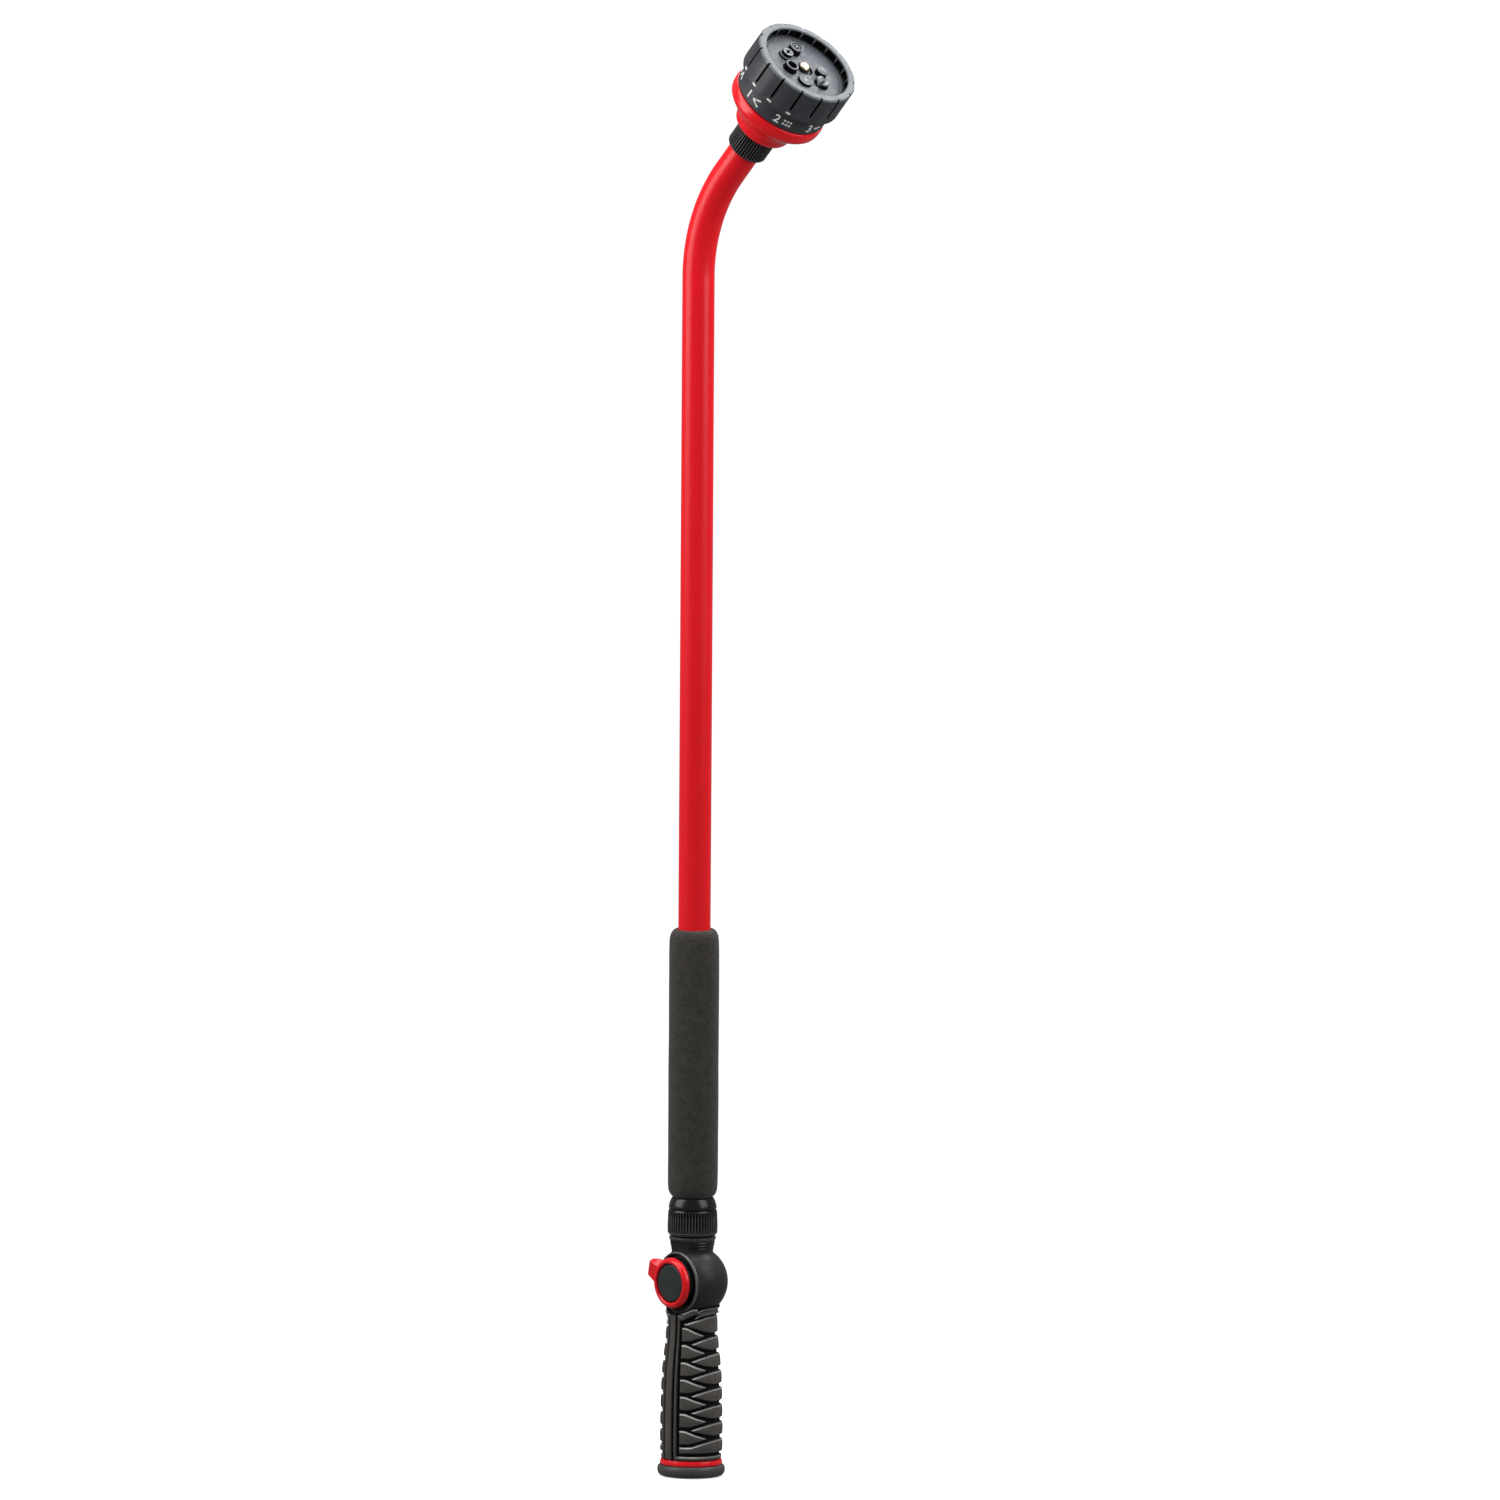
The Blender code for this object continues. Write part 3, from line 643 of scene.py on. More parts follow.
def grip_place(turn, part):
    """The grip's radius and height, how raised each point is (which also paints shade into the
    grooves), and where a highlight is painted along upper edges.
    """
    side = np.degrees(np.abs((turn + math.pi / 2 + math.pi) % math.tau - math.pi))
    top = line(side, COLLAR) + 0.25
    across = 15.0 * np.abs(np.sin(np.radians(side)))
    rim = VALVE_HEIGHT - np.sqrt(np.clip(RIM_CLEARANCE ** 2 - across ** 2, 0, None))
    top = np.where(side < 62, np.minimum(np.maximum(top, 100.5), rim), top)
    height = GRIP_FOOT + (top - GRIP_FOOT) * part
    ball = np.sqrt(np.clip(BALL_CLEARANCE ** 2 - (VALVE_HEIGHT - height) ** 2, 0, None))
    base = np.maximum(line(height, GRIP_RADII), np.where(height > 97, ball + 0.35, 0))
    inside = grip_relief(side, height)
    raised = smooth(inside, -0.42, 0.42)
    crown = 0.16 * smooth(inside, 0.2, 3.2)
    ends = (0.5 * (1 - smooth(height, GRIP_FOOT, 11.1))
            + 0.45 * smooth(height, top - 0.55, top))
    collar = height - line(side, COLLAR)
    bulge = (0.75 * np.exp(-((collar + 0.3) / 1.1) ** 2)
             + 0.7 * np.exp(-((collar + 3.8) / 0.75) ** 2) * smooth(side, 44, 60))
    radius = (base - 0.16 - GROOVE_DEPTH * (1 - raised) + crown
              + bulge * smooth(side, 30, 50) - ends)
    # painted shade: the colour goes dark in a line where the grip's top meets the ball
    raised = raised * (1 - smooth(height, top - 0.8, top - 0.2))
    higher = np.concatenate([raised[2:], np.repeat(raised[-1:], 2, axis=0)])
    # painted highlight along the upper edges of the raised shapes, weaker on the spine and
    # towards the back
    upper = smooth(raised, 0.35, 0.8) * (1 - smooth(higher, 0.2, 0.75))
    upper *= np.maximum(smooth(side, 24, 28), 0.35 * smooth(side, 14, 16))
    upper *= 1 - 0.65 * smooth(side, 50, 85)
    return radius, height, {"raised": raised, "painted_edge_highlight": upper}


wrapped("grip_sleeve", 380, 250, grip_place,
        ((12.3, 97.0), (12.3, 16.3), (15.9, 16.3), (15.9, GRIP_FOOT)),
        GRIP_BLACK, HANDLE, "wand", ["handle_overmould"])

# ---- valve

BALL_R = 20.93
ball_profile = [(6.2, 91.9), (11.6, 91.9), (11.6, 96.9)]
for degrees in range(-56, 55, 3):
    radius, rise = polar(BALL_R, math.radians(degrees))
    ball_profile.append((radius, VALVE_HEIGHT + rise))
neck = rounded([
    (12.1, 132.2), (12.2, 133.6, 0.8), (12.55, 135.2, 0.3), (12.35, 135.6, 0.15),
    (12.75, 136.1, 0.2), (12.95, 136.9, 0.2), (12.65, 137.3, 0.15), (13.05, 137.8, 0.2),
    (13.2, 138.6, 0.2), (12.9, 139.0, 0.15), (13.3, 139.5, 0.2), (13.75, 140.9, 0.3),
    (13.85, 141.3, 0.2), (13.0, 141.9, 0.2), (10.5, 142.1), (10.5, 151.8, 0.5), (6.2, 151.8),
], 3)
facing = lathe([(0, 9.4), (17.2, 9.4), (17.2, 9.9), (25, 9.9), (25, 40), (0, 40)], 96)
facing = moved(tipped(facing), (0, 0, VALVE_HEIGHT))
piece("valve_body", cut(lathe(ball_profile + neck, 112), facing), HOUSING, HANDLE, "wand",
      ["valve_housing"], 28,
      others=[(NUT_BLACK, lambda at, way: at.z > 134.4),
              # painted highlight: a lighter line on the neck's top lip
              (RIB_HIGHLIGHT, lambda at, way: 140.2 < at.z < 141.6 and at.xy.length > 13.4)])
piece("valve_rim", lathe(rounded([
    (16.35, 8.6), (18.0, 8.6), (18.15, 9.6, 0.3), (18.15, 10.9, 0.3), (17.5, 11.75, 0.3),
    (16.75, 11.8, 0.3), (16.35, 11.4, 0.3),
], 5), 128), HOUSING, VALVE, "wand", [],
      # painted highlight on the rim's rounded outer edge
      others=[(RIM_HIGHLIGHT, lambda at, way: at.z > 10.3 and at.xy.length > 17.3)])
# painted shade: a near-black disc on the floor of the pocket under the lever
piece("valve_pocket_painted_shade", lathe(rounded([
    (5.0, 8.9), (16.5, 8.9), (16.5, 9.2, 0.1), (5.0, 9.2, 0.1),
], 2), 96), BLACK_AND_SHADE, VALVE, "wand", [])

piece("lever_skirt", lathe(rounded([
    (3.9, 11.45), (12.3, 11.45), (12.3, 9.7, 0.2), (14.0, 9.7, 0.3), (14.5, 10.3, 0.3),
    (14.5, 13.95, 0.2), (11.6, 13.95), (11.6, 12.5, 0.2), (3.9, 12.5, 0.2),
], 4), 128), NUT_BLACK, VALVE, "valve_rotor", ["lever_base"])
ring = lathe(rounded([
    (11.6, 14.35, 0.2), (14.8, 14.35, 0.4), (15.05, 15.2, 0.6), (14.7, 16.7, 1.0),
    (13.6, 17.95, 1.0), (12.3, 18.1, 0.5), (11.6, 17.5, 0.3),
], 6), 144)


def thumb_tab():
    """A tab that narrows outwards, with a ridge along it and rounded edges."""
    made = bmesh.new()
    foot, ring_side = 14.4, math.radians(158)
    sections = []
    for reach, upper, crest, lower, edge, ridge in (
            (12.9, -8.3, -3.6, 7.4, 15.3, 17.3), (16.5, -7.4, -3.8, 6.7, 15.5, 17.6),
            (21.1, -5.0, -4.0, 5.4, 15.9, 17.6)):
        corners = [(upper, foot), (lower, foot), (lower, edge + 0.2), (crest, ridge),
                   (upper, edge)]
        sections.append([made.verts.new((reach, y, z)) for y, z in corners])
    bar_of(made, sections)
    bmesh.ops.recalc_face_normals(made, faces=made.faces)
    edges = [edge for edge in made.edges if edge.calc_face_angle(0) > 0.2]
    bmesh.ops.bevel(made, geom=edges, offset=0.3, segments=3, profile=0.6, affect="EDGES")
    return moved(made, turn=ring_side)


piece("lever_ring", merged(ring, thumb_tab()), GLOSS_RED, VALVE, "valve_rotor",
      ["valve_lever"], 28)
piece("lever_cap_disc", lathe(rounded([
    (9.9, 12.95), (11.15, 12.95), (11.15, 16.5, 0.3), (10.75, 17.1, 0.5), (10.1, 17.3, 0.5),
    (8.0, 17.5, 3.0), (0, 17.6), (0, 14.75), (9.9, 14.75),
], 6), 128), CAP_BLACK, VALVE, "valve_rotor", ["lever_cap"])

# ---- couplings


def within(value, low, high):
    return max(low, min(high, value))


def knurl(outer, count, depth, low, high):
    """Rounded ribs around a nut between two heights."""
    skin, fade = 0.9, 0.8

    def shape(radius, height, angle):
        if radius < outer - skin:
            return radius
        groove = 0.5 - 0.5 * within(math.cos(angle * count) * 1.7 - 0.25, -1.0, 1.0)
        ease = within((height - low) / fade, 0.0, 1.0) * within((high - height) / fade, 0.0, 1.0)
        return radius - depth * groove * ease
    return shape


LOWER_RIBS, UPPER_RIBS, STEPS_PER_RIB = 50, 44, 8


piece("lower_nut_ribbed", lathe(rounded([
    (11.0, 142.6), (13.5, 142.6, 0.3), (14.0, 143.0, 0.2), (14.1, 143.4, 0.2),
    (14.45, 143.7, 0.2), (14.62, 144.2, 0.2), (14.68, 147.5), (14.6, 151.0), (14.45, 153.8),
    (14.3, 156.6, 0.3), (14.0, 157.2, 0.2), (13.7, 157.8, 0.2), (12.35, 157.8), (12.35, 154.2),
    (11.0, 154.2),
], 4), LOWER_RIBS * STEPS_PER_RIB, knurl(14.6, LOWER_RIBS, 0.85, 144.0, 156.9)),
      NUT_BLACK, TUBE, "lower_nut",
      ["lower_coupling_nut"], others=[
          # painted shade on the floors between the ribs; painted highlight on the rib tops and on
          # the lower lip
          (BLACK_AND_SHADE, lambda at, way: 144.6 < at.z < 156.4 and 12.5 < at.xy.length < 13.95),
          (RIB_HIGHLIGHT, lambda at, way: 144.0 < at.z < 156.8 and at.xy.length > 14.2),
          (RIB_HIGHLIGHT, lambda at, way: at.z < 143.7 and at.xy.length > 13.3)])
piece("collar_cone", lathe(rounded([
    (9.85, 154.7), (11.9, 154.7), (11.9, 158.1), (13.7, 158.1, 0.4), (14.1, 158.6, 0.4),
    (13.95, 160.0, 0.8), (13.35, 162.2, 1.0), (12.65, 163.8, 0.8), (12.2, 164.6, 0.3),
    (9.85, 164.75),
], 5), 112), NUT_BLACK, TUBE, "wand", ["tube_collar"])
piece("upper_nut_ribbed", lathe(rounded([
    (9.9, 19.9), (11.6, 19.9, 0.3), (12.3, 20.6, 0.3), (12.5, 21.1, 0.2), (12.5, 32.6, 0.3),
    (11.9, 34.1, 0.3), (11.4, 35.05, 0.3), (11.0, 35.1), (11.0, 22.0), (9.9, 22.0),
], 4), UPPER_RIBS * STEPS_PER_RIB, knurl(12.5, UPPER_RIBS, 0.8, 20.3, 33.6)),
      NUT_BLACK, HEAD, "upper_nut",
      ["upper_coupling_nut"], others=[
          # painted shade on the floors between the ribs; painted highlight on the rib tops
          (BLACK_AND_SHADE, lambda at, way: 21.0 < at.z < 33.2 and 11.1 < at.xy.length < 11.95),
          (RIB_HIGHLIGHT, lambda at, way: 20.8 < at.z < 33.2 and at.xy.length > 12.2)])

# ---- foam and tube

FOAM_FOOT, FOAM_LENGTH = 164.9, 158.55
FOAM_PROFILE = ((0.0, 11.4), (0.006, 12.6), (0.014, 13.5), (0.028, 14.12), (0.05, 14.38),
                (0.09, 14.48), (0.5, 14.5), (0.91, 14.48), (0.955, 14.36), (0.975, 14.02),
                (0.988, 13.3), (0.996, 12.3), (1.0, 11.2))


def foam_place(turn, part):
    """The sleeve's radius and height, with rows crowded at its ends and a slight unevenness."""
    eased = part - 0.055 * np.sin(math.tau * part)
    radius = line(eased, FOAM_PROFILE)
    height = FOAM_FOOT + FOAM_LENGTH * eased
    swell = (0.05 * np.sin(height / 11.0 + 1.3 * np.sin(turn))
             + 0.03 * np.sin(3 * turn + height / 6.0))
    return radius + (0.22 + swell) * smooth(radius, 13.0, 14.4), height


sleeve = wrapped("foam_sleeve", 120, 210, foam_place, ((9.85, 323.4), (9.85, 164.95)),
                 FOAM, TUBE, "wand", ["foam_grip"])


def tube_shape():
    """The straight tube, its bend and its short straight end, with the bore."""
    foot, straight_steps, bend_steps, end = 154.7, 12, 48, TUBE_END - 0.1
    stations = [(0.0, foot + (BEND_START - foot) * i / straight_steps, 0.0)
                for i in range(straight_steps)]
    for i in range(bend_steps + 1):
        angle = BEND_ANGLE * i / bend_steps
        stations.append((BEND_RADIUS * (1 - math.cos(angle)),
                         BEND_START + BEND_RADIUS * math.sin(angle), angle))
    stations.append((BEND_END[0] + end * math.sin(BEND_ANGLE),
                     BEND_END[1] + end * math.cos(BEND_ANGLE), BEND_ANGLE))
    made = bmesh.new()
    outside, inside = [
        [[made.verts.new((x + u * math.cos(angle), v, z - u * math.sin(angle)))
          for u, v in circle(radius, 96)] for x, z, angle in stations]
        for radius in (9.5, 8.3)]
    loop = outside + inside[::-1]
    for one, two in zip(loop, loop[1:] + loop[:1]):
        bridge(made, one, two)
    return made


piece("bent_tube", tube_shape(), TUBE_RED, TUBE, "wand", ["wand_tube"])

# ---- spray head, red housing

piece("head_shell_red", lathe(rounded([
    (7.0, 28.2), (10.5, 28.2), (10.5, 35.6), (13.4, 35.6, 0.4), (15.8, 36.4, 0.9),
    (17.3, 38.0, 1.0), (17.95, 39.8, 1.1), (18.2, 41.7, 0.9), (18.65, 43.1, 0.9),
    (20.3, 45.0, 1.6), (24.2, 48.7, 2.4), (27.6, 51.7, 1.6), (29.1, 53.5, 1.2), (29.6, 55.4, 1.2),
    (29.7, 59.0, 0.8), (29.4, 60.4, 0.5), (28.9, 60.7, 0.2), (27.9, 60.7), (27.9, 54.0),
    (24.0, 53.0), (15.0, 45.2), (7.0, 43.0),
], 6), 160), GLOSS_RED, HEAD, "wand", ["head_rear_housing"])

# ---- dial

PADS = 15
PAD_PITCH = 360 / PADS
WINDOW_PITCH = 18
DIAL_R = 32.4
RECESS_R = 27.5


def off_pitch(angle, pitch):
    """Degrees from an angle in radians to the nearest multiple of a pitch in degrees."""
    return abs((math.degrees(angle) / pitch + 0.5) % 1 - 0.5) * pitch


def dial_shape(radius, height, angle):
    """Finger pads parted by narrow grooves outside, windows pressed back between ribs inside,
    which painted shade makes dark.
    """
    if radius > 31.2 and height > 72.5:
        off = off_pitch(angle, PAD_PITCH)
        deep = float(1 - smooth(off, 0.6, 1.5)) * float(smooth(height, 76.3, 77.6))
        crown = 0.32 * float(smooth(off, 12.5, 1.5)) * float(smooth(height, 73.6, 76.0))
        fall = 0.8 if height > 92.2 else 1.0
        return radius - (1.3 * deep + crown) * fall
    if radius < RECESS_R + 0.1 and 87.3 < height < 91.9:
        return radius + 1.5 * float(smooth(off_pitch(angle, WINDOW_PITCH), 1.25, 1.7))
    return radius


def levels(radius, low, high, count):
    """Evenly spaced points of a profile up a straight wall."""
    return [(radius, low + (high - low) * i / count) for i in range(count + 1)]


dial_profile = rounded([
    (RECESS_R, 61.2), (28.7, 61.2, 0.3), (29.1, 61.7, 0.3), (29.1, 71.4, 0.5), (29.6, 71.9, 0.2),
    (31.4, 72.1, 0.5), (DIAL_R, 73.2, 0.5),
], 4) + levels(DIAL_R, 74.2, 78.0, 8) + levels(DIAL_R, 79.5, 90.3, 5) + rounded([
    (DIAL_R, 91.2), (DIAL_R, 91.7, 0.4), (31.75, 92.8, 0.4), (28.0, 92.8, 0.3),
    (RECESS_R, 92.3, 0.25),
], 4) + [(RECESS_R, height) for height in (91.95, 91.85, 89.5, 87.4, 87.25)]
piece("dial_body", lathe(dial_profile, PADS * 48, dial_shape), DIAL, HEAD, "spray_dial",
      ["dial_shell"], 40, others=[
          # painted highlight: lighter grey on the rim's outward faces and on the ribs inside the
          # recess
          (LIP_HIGHLIGHT, lambda at, way: at.z > 91.0 and way.z > 0.15),
          (LIP_HIGHLIGHT, lambda at, way: 88.6 < at.z < 92 and 27.4 < at.xy.length < 27.62),
          # painted shade: near-black on the groove walls between the pads and in the windows
          # inside the recess
          (BLACK_AND_SHADE, lambda at, way: at.z > 76 and at.xy.length < 31.85 and abs(way.z) < 0.15
           and at.xy.length > 29.5),
          (BLACK_AND_SHADE, lambda at, way: 87.2 < at.z < 92 and 27.7 < at.xy.length < 29.6)])


INK = 0.05              # how thick the printed marks are
BAND_R, BAND_FOOT = 29.12, 63.9
CLICKS = 8


def on_band(shape, angle, base=BAND_FOOT, radius=BAND_R):
    """Wraps a flat drawing of x and y millimetres around the dial at a height."""
    for point in shape.verts:
        x, y, z = point.co
        point.co = (*polar(radius + z, angle + x / radius), base + y)
    return shape


def digit(text, size):
    """A printed numeral as a thin flat shape, its foot on y = 0."""
    curve = bpy.data.curves.new("numeral", "FONT")
    curve.body = text
    curve.size = size
    curve.offset = 0.15
    carrier = added("numeral", curve)
    bpy.context.view_layer.update()
    flat = bpy.data.meshes.new_from_object(carrier)
    made = bmesh.new()
    made.from_mesh(flat)
    bpy.data.objects.remove(carrier)
    bpy.data.curves.remove(curve)
    bpy.data.meshes.remove(flat)
    thick = bmesh.ops.extrude_face_region(made, geom=made.faces)
    raised = [item for item in thick["geom"] if isinstance(item, bmesh.types.BMVert)]
    bmesh.ops.translate(made, vec=(0, 0, INK), verts=raised)
    return made


def bar(x0, y0, x1, y1, width=0.8):
    """A straight stroke, split along its length so that it follows the band."""
    along = Vector((x1 - x0, y1 - y0))
    aside = Vector((-along.y, along.x)).normalized() * width / 2
    count = 4
    middles = [Vector((x0, y0)) + along * i / count for i in range(count + 1)]
    return prism([tuple(middle - aside) for middle in middles]
                 + [tuple(middle + aside) for middle in middles[::-1]], 0, INK)


def dot(x, y, radius):
    return prism(circle(radius, 14, x, y), 0, INK)


def ring_mark(x, y, radius, width):
    made = lathe([(radius - width, 0), (radius, 0), (radius, INK), (radius - width, INK)], 28)
    return moved(made, (x, y, 0))


def spray_mark(kind):
    """A plain drawing of a spray pattern in a 5 by 4 millimetre field."""
    if kind == 0:  # cone
        return [bar(0.4, 2, 4.6, 3.8), bar(0.4, 2, 4.6, 0.2)]
    if kind == 1:  # shower
        return [dot(0.9 + 1.6 * i, 1.0 + 2.0 * j, 0.6) for i in range(3) for j in range(2)]
    if kind == 2:  # jet
        return [bar(0.3, 2, 4.8, 2, 1.1)]
    if kind == 3:  # fan
        return [bar(2.5, 0.3, 0.6, 3.8), bar(2.5, 0.3, 2.5, 3.8), bar(2.5, 0.3, 4.4, 3.8)]
    if kind == 4:  # fine spray
        return [dot(0.7 + 1.2 * i, 0.8 + 1.3 * j + 0.5 * (i % 2), 0.36)
                for i in range(4) for j in range(3)]
    if kind == 5:  # soaker
        return [ring_mark(2.5, 2, 2.0, 0.75)]
    if kind == 6:  # star
        return [bar(2.5 + 1.9 * math.cos(turn), 2 + 1.9 * math.sin(turn),
                    2.5 - 1.9 * math.cos(turn), 2 - 1.9 * math.sin(turn), 0.7)
                for turn in (0.52, 1.57, 2.62)]
    return [bar(0.6, 0.4, 2.5, 3.6), bar(2.5, 3.6, 4.4, 0.4)]  # angle


def band_marks():
    """Numerals with spray drawings, one for each click of the dial."""
    parts = []
    for k in range(CLICKS):
        angle = math.radians(270 + 360 / CLICKS * k)
        parts.append(on_band(moved(digit(str(k + 1), 7.6), (-6.1, 0, 0)), angle))
        drawing = merged(*spray_mark(k))
        bmesh.ops.scale(drawing, vec=(1.25, 1.25, 1), verts=drawing.verts)
        parts.append(on_band(moved(drawing, (-0.6, 0, 0)), angle))
    return merged(*parts)


piece("dial_numerals", band_marks(), MARKS, HEAD, "spray_dial", [])
dash = [(x, -0.55) for x in (-1.5, -0.5, 0.5, 1.5)]
dash += [(x, 0.55) for x in (1.5, 0.5, -0.5, -1.5)]
index_marks = [on_band(prism(dash, 0, 0.06), math.radians(PAD_PITCH * k), 75.2, DIAL_R - 0.03)
               for k in range(10, 14)]
piece("dial_index_marks", merged(*index_marks), MARKS, HEAD, "spray_dial", [])

# ---- face and nozzles

# Distance from the axis, angle and radius of each nozzle.
NOZZLES = {"cone": (14.3, 165, 4.1), "star": (12.8, 206, 4.3), "jet": (10.8, 262, 4.3),
           "soaker": (12.1, 323, 4.4), "fan": (14.1, 17, 4.4), "shower": (11.8, 60, 3.6)}


def nozzle_middle(name):
    distance, angle, _ = NOZZLES[name]
    return polar(distance, math.radians(angle))


plate = lathe(rounded([
    (2.3, 84.5), (27.1, 84.5), (27.1, 86.5, 0.3), (26.7, 87.0, 0.3), (26.0, 87.0, 0.1),
    (25.7, 86.7, 0.1), (25.0, 86.7, 0.1), (24.7, 87.0, 0.1), (2.3, 87.0),
], 3), 128)
holes = [prism(circle(spec[2] + 0.3, 48, *nozzle_middle(name)), 83, 88)
         for name, spec in NOZZLES.items()]
CRESCENT_R, CRESCENT_WIDTH, CRESCENT_STEPS = 4.75, 1.9, 24
crescent_turns = [math.radians(2 + 146 * i / CRESCENT_STEPS) for i in range(CRESCENT_STEPS + 1)]
crescent = [polar(CRESCENT_R, turn) for turn in crescent_turns]
crescent += [polar(CRESCENT_R + CRESCENT_WIDTH * math.sin(math.pi * i / CRESCENT_STEPS) ** 0.6,
                   crescent_turns[i]) for i in range(CRESCENT_STEPS - 1, 0, -1)]
holes.append(prism(crescent, 85.6, 88))
piece("face_disc", cut(plate, merged(*holes)), FACE, HEAD, "spray_dial", ["face_plate"],
      30, others=[
          # painted shade: near-black on the walls of the crescent groove and the centre hole
          (BLACK_AND_SHADE, lambda at, way: 85 < at.z < 86.9 and at.xy.length < 7.5)])


def nozzle(name, profile, tools=()):
    """A nozzle from its profile and what is cut out of it, with painted shade making all but its
    upper faces black.
    """
    shape = lathe(rounded(profile, 3), 72)
    if tools:
        shape = cut(shape, merged(*tools))
    shape = moved(shape, turn=math.radians(NOZZLES[name][1]))
    piece(f"{name}_nozzle_body", moved(shape, (*nozzle_middle(name), 0)),
          NOZZLE, HEAD, "spray_dial", [f"{name}_nozzle"], 30,
          # painted shade: near-black on the sides, undersides and cut-outs
          others=[(BLACK_AND_SHADE, lambda at, way: way.z < 0.35 or at.z < 88.0)])


nozzle("cone", [
    (0, 66), (4.0, 66), (4.0, 90.9, 0.3), (3.4, 91.2, 0.25), (3.2, 90.9, 0.15), (3.15, 88.6),
    (2.75, 88.6), (2.7, 90.6, 0.15), (2.5, 90.9, 0.15), (2.0, 90.9, 0.15), (1.85, 90.6, 0.1),
    (1.8, 88.9), (1.2, 88.9), (1.15, 90.9, 0.2), (0.6, 91.25, 0.3), (0, 91.3),
])
star_outline = [polar((2.45, 1.75, 0.95, 1.75)[i % 4], math.tau * i / 16) for i in range(16)]
nozzle("star", [
    (0, 66), (4.2, 66), (4.2, 88.2, 0.3), (3.55, 88.5, 0.2), (3.4, 90.5, 0.3), (3.1, 90.85, 0.2),
    (2.75, 90.6, 0.1), (0, 90.6),
], [prism(star_outline, 84, 93)])
nozzle("jet", [
    (1.8, 66), (4.2, 66), (4.2, 90.0, 0.3), (3.9, 90.7, 0.3), (3.4, 90.85, 0.25),
    (3.0, 90.5, 0.2), (2.75, 88.5, 0.4), (1.8, 84.0),
])
nozzle("soaker", [
    (0, 66), (4.3, 66), (4.3, 88.5, 0.3), (4.0, 88.9, 0.2), (3.7, 88.7, 0.1), (0, 88.7),
], [prism(circle(0.36, 10, x, y), 87.4, 90) for x, y in
    circle(1.1, 5) + circle(2.1, 10) + circle(3.05, 15)])
nozzle("fan", [
    (0, 66), (4.3, 66), (4.3, 89.4, 0.4), (3.7, 90.3, 0.4), (0, 90.35),
], [tipped(prism([(-3.4, 92.0), (2.2, 92.0), (0.7, 87.6), (-0.7, 87.6)], -6, 6))])
nozzle("shower", [
    (0, 66), (3.5, 66), (3.5, 89.6, 0.5), (2.9, 90.3, 0.5), (1.4, 90.6, 0.6), (0, 90.65),
], [prism(circle(0.27, 8, x, y), 89.3, 92) for x, y in circle(0.9, 5) + circle(1.9, 10)])
slot_cut = prism([(-4, -0.45), (4, -0.45), (4, 0.45), (-4, 0.45)], 89.3, 92)
piece("pivot_screw_head", cut(lathe(rounded([
    (0, 57), (1.85, 57), (1.85, 88.25), (3.15, 88.25, 0.2), (3.15, 89.2, 0.3), (2.6, 89.9, 0.6),
    (1.4, 90.1, 0.5), (0, 90.15),
], 4), 72), slot_cut), BRASS, HEAD, "wand", ["pivot_screw"])

# ---- click pin's spring

DETENT_AT, SPRING_FOOT, SPRING_TOP, PIN_TRAVEL = (0.0, 20.0), 55.9, 58.7, 0.8


def coil(radius, thick, low, high, turns, steps=24):
    """A compression spring standing on Z, round in section."""
    count = turns * steps
    centres, across = [], []
    for i in range(count + 1):
        angle = math.tau * i / steps
        centres.append((*polar(radius, angle),
                        low + thick + (high - low - 2 * thick) * i / count))
        across.append(((*polar(1, angle), 0), (0, 0, 1)))
    return wire(centres, across, thick, 8)


spring = piece("detent_spring_coil",
               moved(coil(1.4, 0.24, SPRING_FOOT, SPRING_TOP, 3), (*DETENT_AT, 0)),
               STEEL, HEAD, "wand", ["detent_spring"])
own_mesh(spring)

# ---- inner nodes kept as packed

KEPT = (
    (BLACK_AND_SHADE, ("dial_back_plate", "port_plate", "handle_core", "stem_gland", "pivot_washer")),
    (SEAL, ("flow_seal", "lower_o_ring", "upper_o_ring", "stem_o_ring")),
    (STEEL, ("seal_spring", "detent_pin", "upper_ferrule", "lever_screw", "valve_ball")),
    (BRASS, ("valve_stem",)),
    (SEAT, ("valve_seat_lower", "valve_seat_upper")),
)
for look, names in KEPT:
    for name in names:
        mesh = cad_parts[name].data
        mesh.materials.clear()
        mesh.materials.append(look)

# ---- camera

AZIMUTH, ELEVATION, ROLL = math.radians(40.3), math.radians(8.0), math.radians(0.36)
FRAME_WIDTH, DISTANCE = 0.87975, 3
AIM_RIGHT, AIM_UP = 0.0346, 0.4252
side = Vector((math.cos(AZIMUTH), math.sin(AZIMUTH), 0))
back = Vector((math.sin(AZIMUTH) * math.cos(ELEVATION),
               -math.cos(AZIMUTH) * math.cos(ELEVATION), math.sin(ELEVATION)))
up = back.cross(side)
right = side * math.cos(ROLL) + up * math.sin(ROLL)
above = up * math.cos(ROLL) - side * math.sin(ROLL)
camera = added("camera", bpy.data.cameras.new("camera"))
camera.data.type = "ORTHO"
camera.data.ortho_scale = FRAME_WIDTH
centre = right * AIM_RIGHT + above * AIM_UP
camera.matrix_world = Matrix.Translation(centre + back * DISTANCE) @ Matrix(
    (right, above, back)).transposed().to_4x4()
bpy.context.scene.camera = camera

# ---- studio


def softbox(name, place, aim, width, height, radiance):
    """A rectangular light that faces a point; radiance is how bright its surface is."""
    light = bpy.data.lights.new(name, "AREA")
    light.shape = "RECTANGLE"
    light.size, light.size_y = width, height
    light.energy = radiance * math.pi * width * height
    made = added(name, light)
    made.location = place
    made.rotation_euler = (Vector(aim) - Vector(place)).to_track_quat("-Z", "Y").to_euler()
    made.visible_camera = False


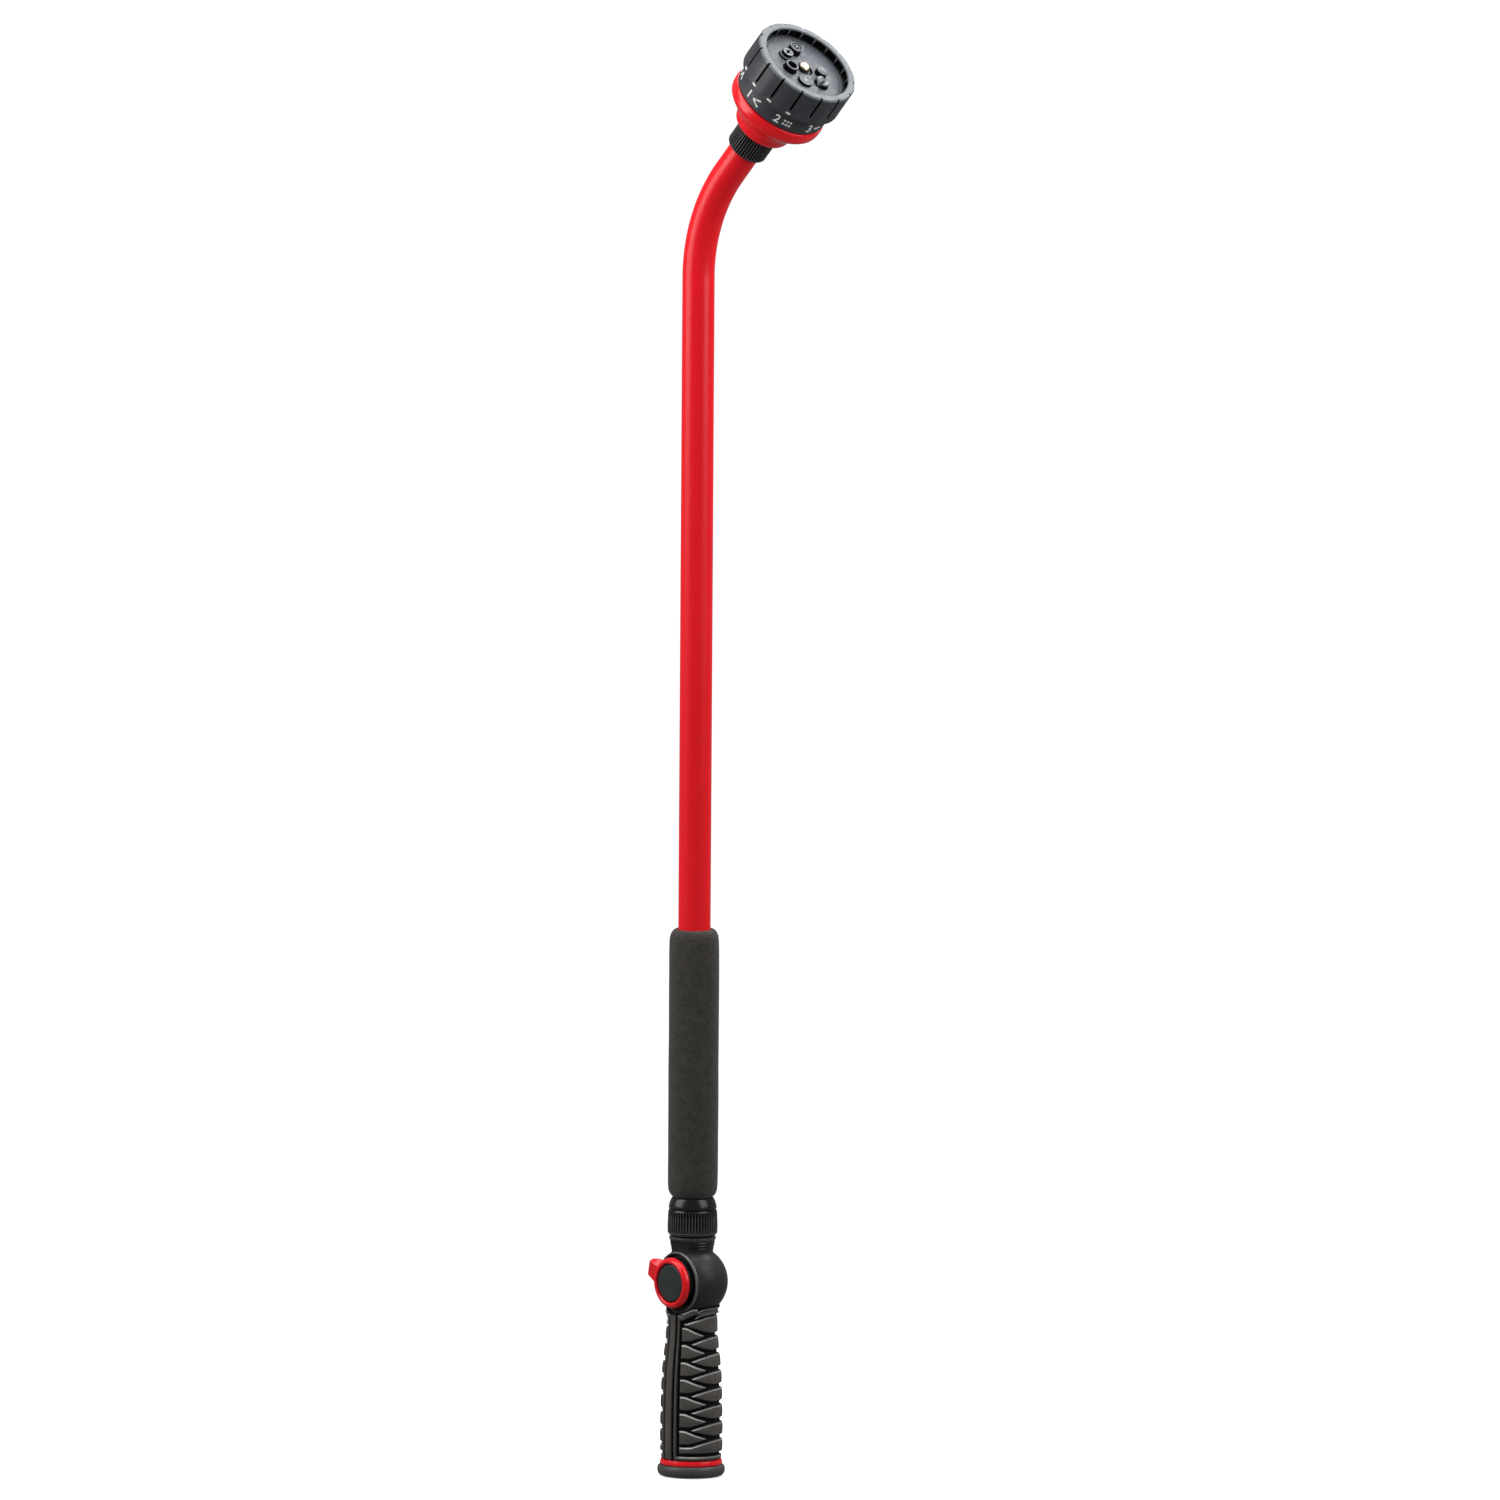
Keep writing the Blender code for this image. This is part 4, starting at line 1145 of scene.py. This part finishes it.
def around(degrees, distance, height):
    """A point at an angle from the camera's direction, positive to the right."""
    turn = math.radians(degrees)
    flat = Vector((back.x, back.y, 0)).normalized()
    place = (flat * math.cos(turn) + side * math.sin(turn)) * distance
    return place.x, place.y, height


softbox("left_box", around(-76, 1.15, 1.05), (0, 0, 0.6), 1.0, 1.3, 3.9)
softbox("right_box", around(60, 1.15, 1.05), (0, 0, 0.6), 0.85, 1.25, 3.3)
softbox("top_box", around(138, 0.8, 1.5), (0.06, 0, 0.8), 0.95, 0.6, 6.5)
softbox("over_box", (0, 0, 1.9), (0, 0, 0), 1.2, 1.2, 3.4)

FILL, BACKDROP = 0.2, 1.05  # the world's strength as light, and behind the object
world = bpy.data.worlds.new("studio")
bpy.context.scene.world = world
world.use_nodes = True
tree = world.node_tree
shown = tree.nodes.new("ShaderNodeLightPath").outputs["Is Camera Ray"]
mix = tree.nodes.new("ShaderNodeMixShader")
tree.links.new(shown, mix.inputs[0])
for socket, white, strength in (
        (mix.inputs[1], tree.nodes["Background"], FILL),
        (mix.inputs[2], tree.nodes.new("ShaderNodeBackground"), BACKDROP)):
    white.inputs["Color"].default_value = (1, 1, 1, 1)
    white.inputs["Strength"].default_value = strength
    tree.links.new(white.outputs[0], socket)
tree.links.new(mix.outputs[0], tree.nodes["World Output"].inputs["Surface"])

ground = bmesh.new()
bmesh.ops.create_circle(ground, cap_ends=True, segments=96, radius=0.55)
floor_mesh = to_mesh(ground, "floor")
floor = added("floor", floor_mesh)
paper = Shader("studio_paper")
paper.colour(paper.blend(paper.clouds(40, 3), (0.86, 0.86, 0.86), (0.9, 0.9, 0.9)))
paper.rough(paper.clouds(3, 3, 0.85, 0.95))
paper.out.inputs["Emission Color"].default_value = (1, 1, 1, 1)
paper.out.inputs["Emission Strength"].default_value = 0.6
floor_mesh.materials.append(paper.material)
unseen = paper.node("ShaderNodeMixShader")  # so that the floor hides nothing from below
paper.link(paper.node("ShaderNodeNewGeometry").outputs["Backfacing"], unseen.inputs[0])
paper.link(paper.out.outputs["BSDF"], unseen.inputs[1])
paper.link(paper.node("ShaderNodeBsdfTransparent").outputs[0], unseen.inputs[2])
paper.link(unseen.outputs[0], paper.tree.nodes["Material Output"].inputs["Surface"])
floor.location.z = -0.0002
floor.visible_diffuse = floor.visible_glossy = False

bpy.context.scene.view_settings.view_transform = "Standard"
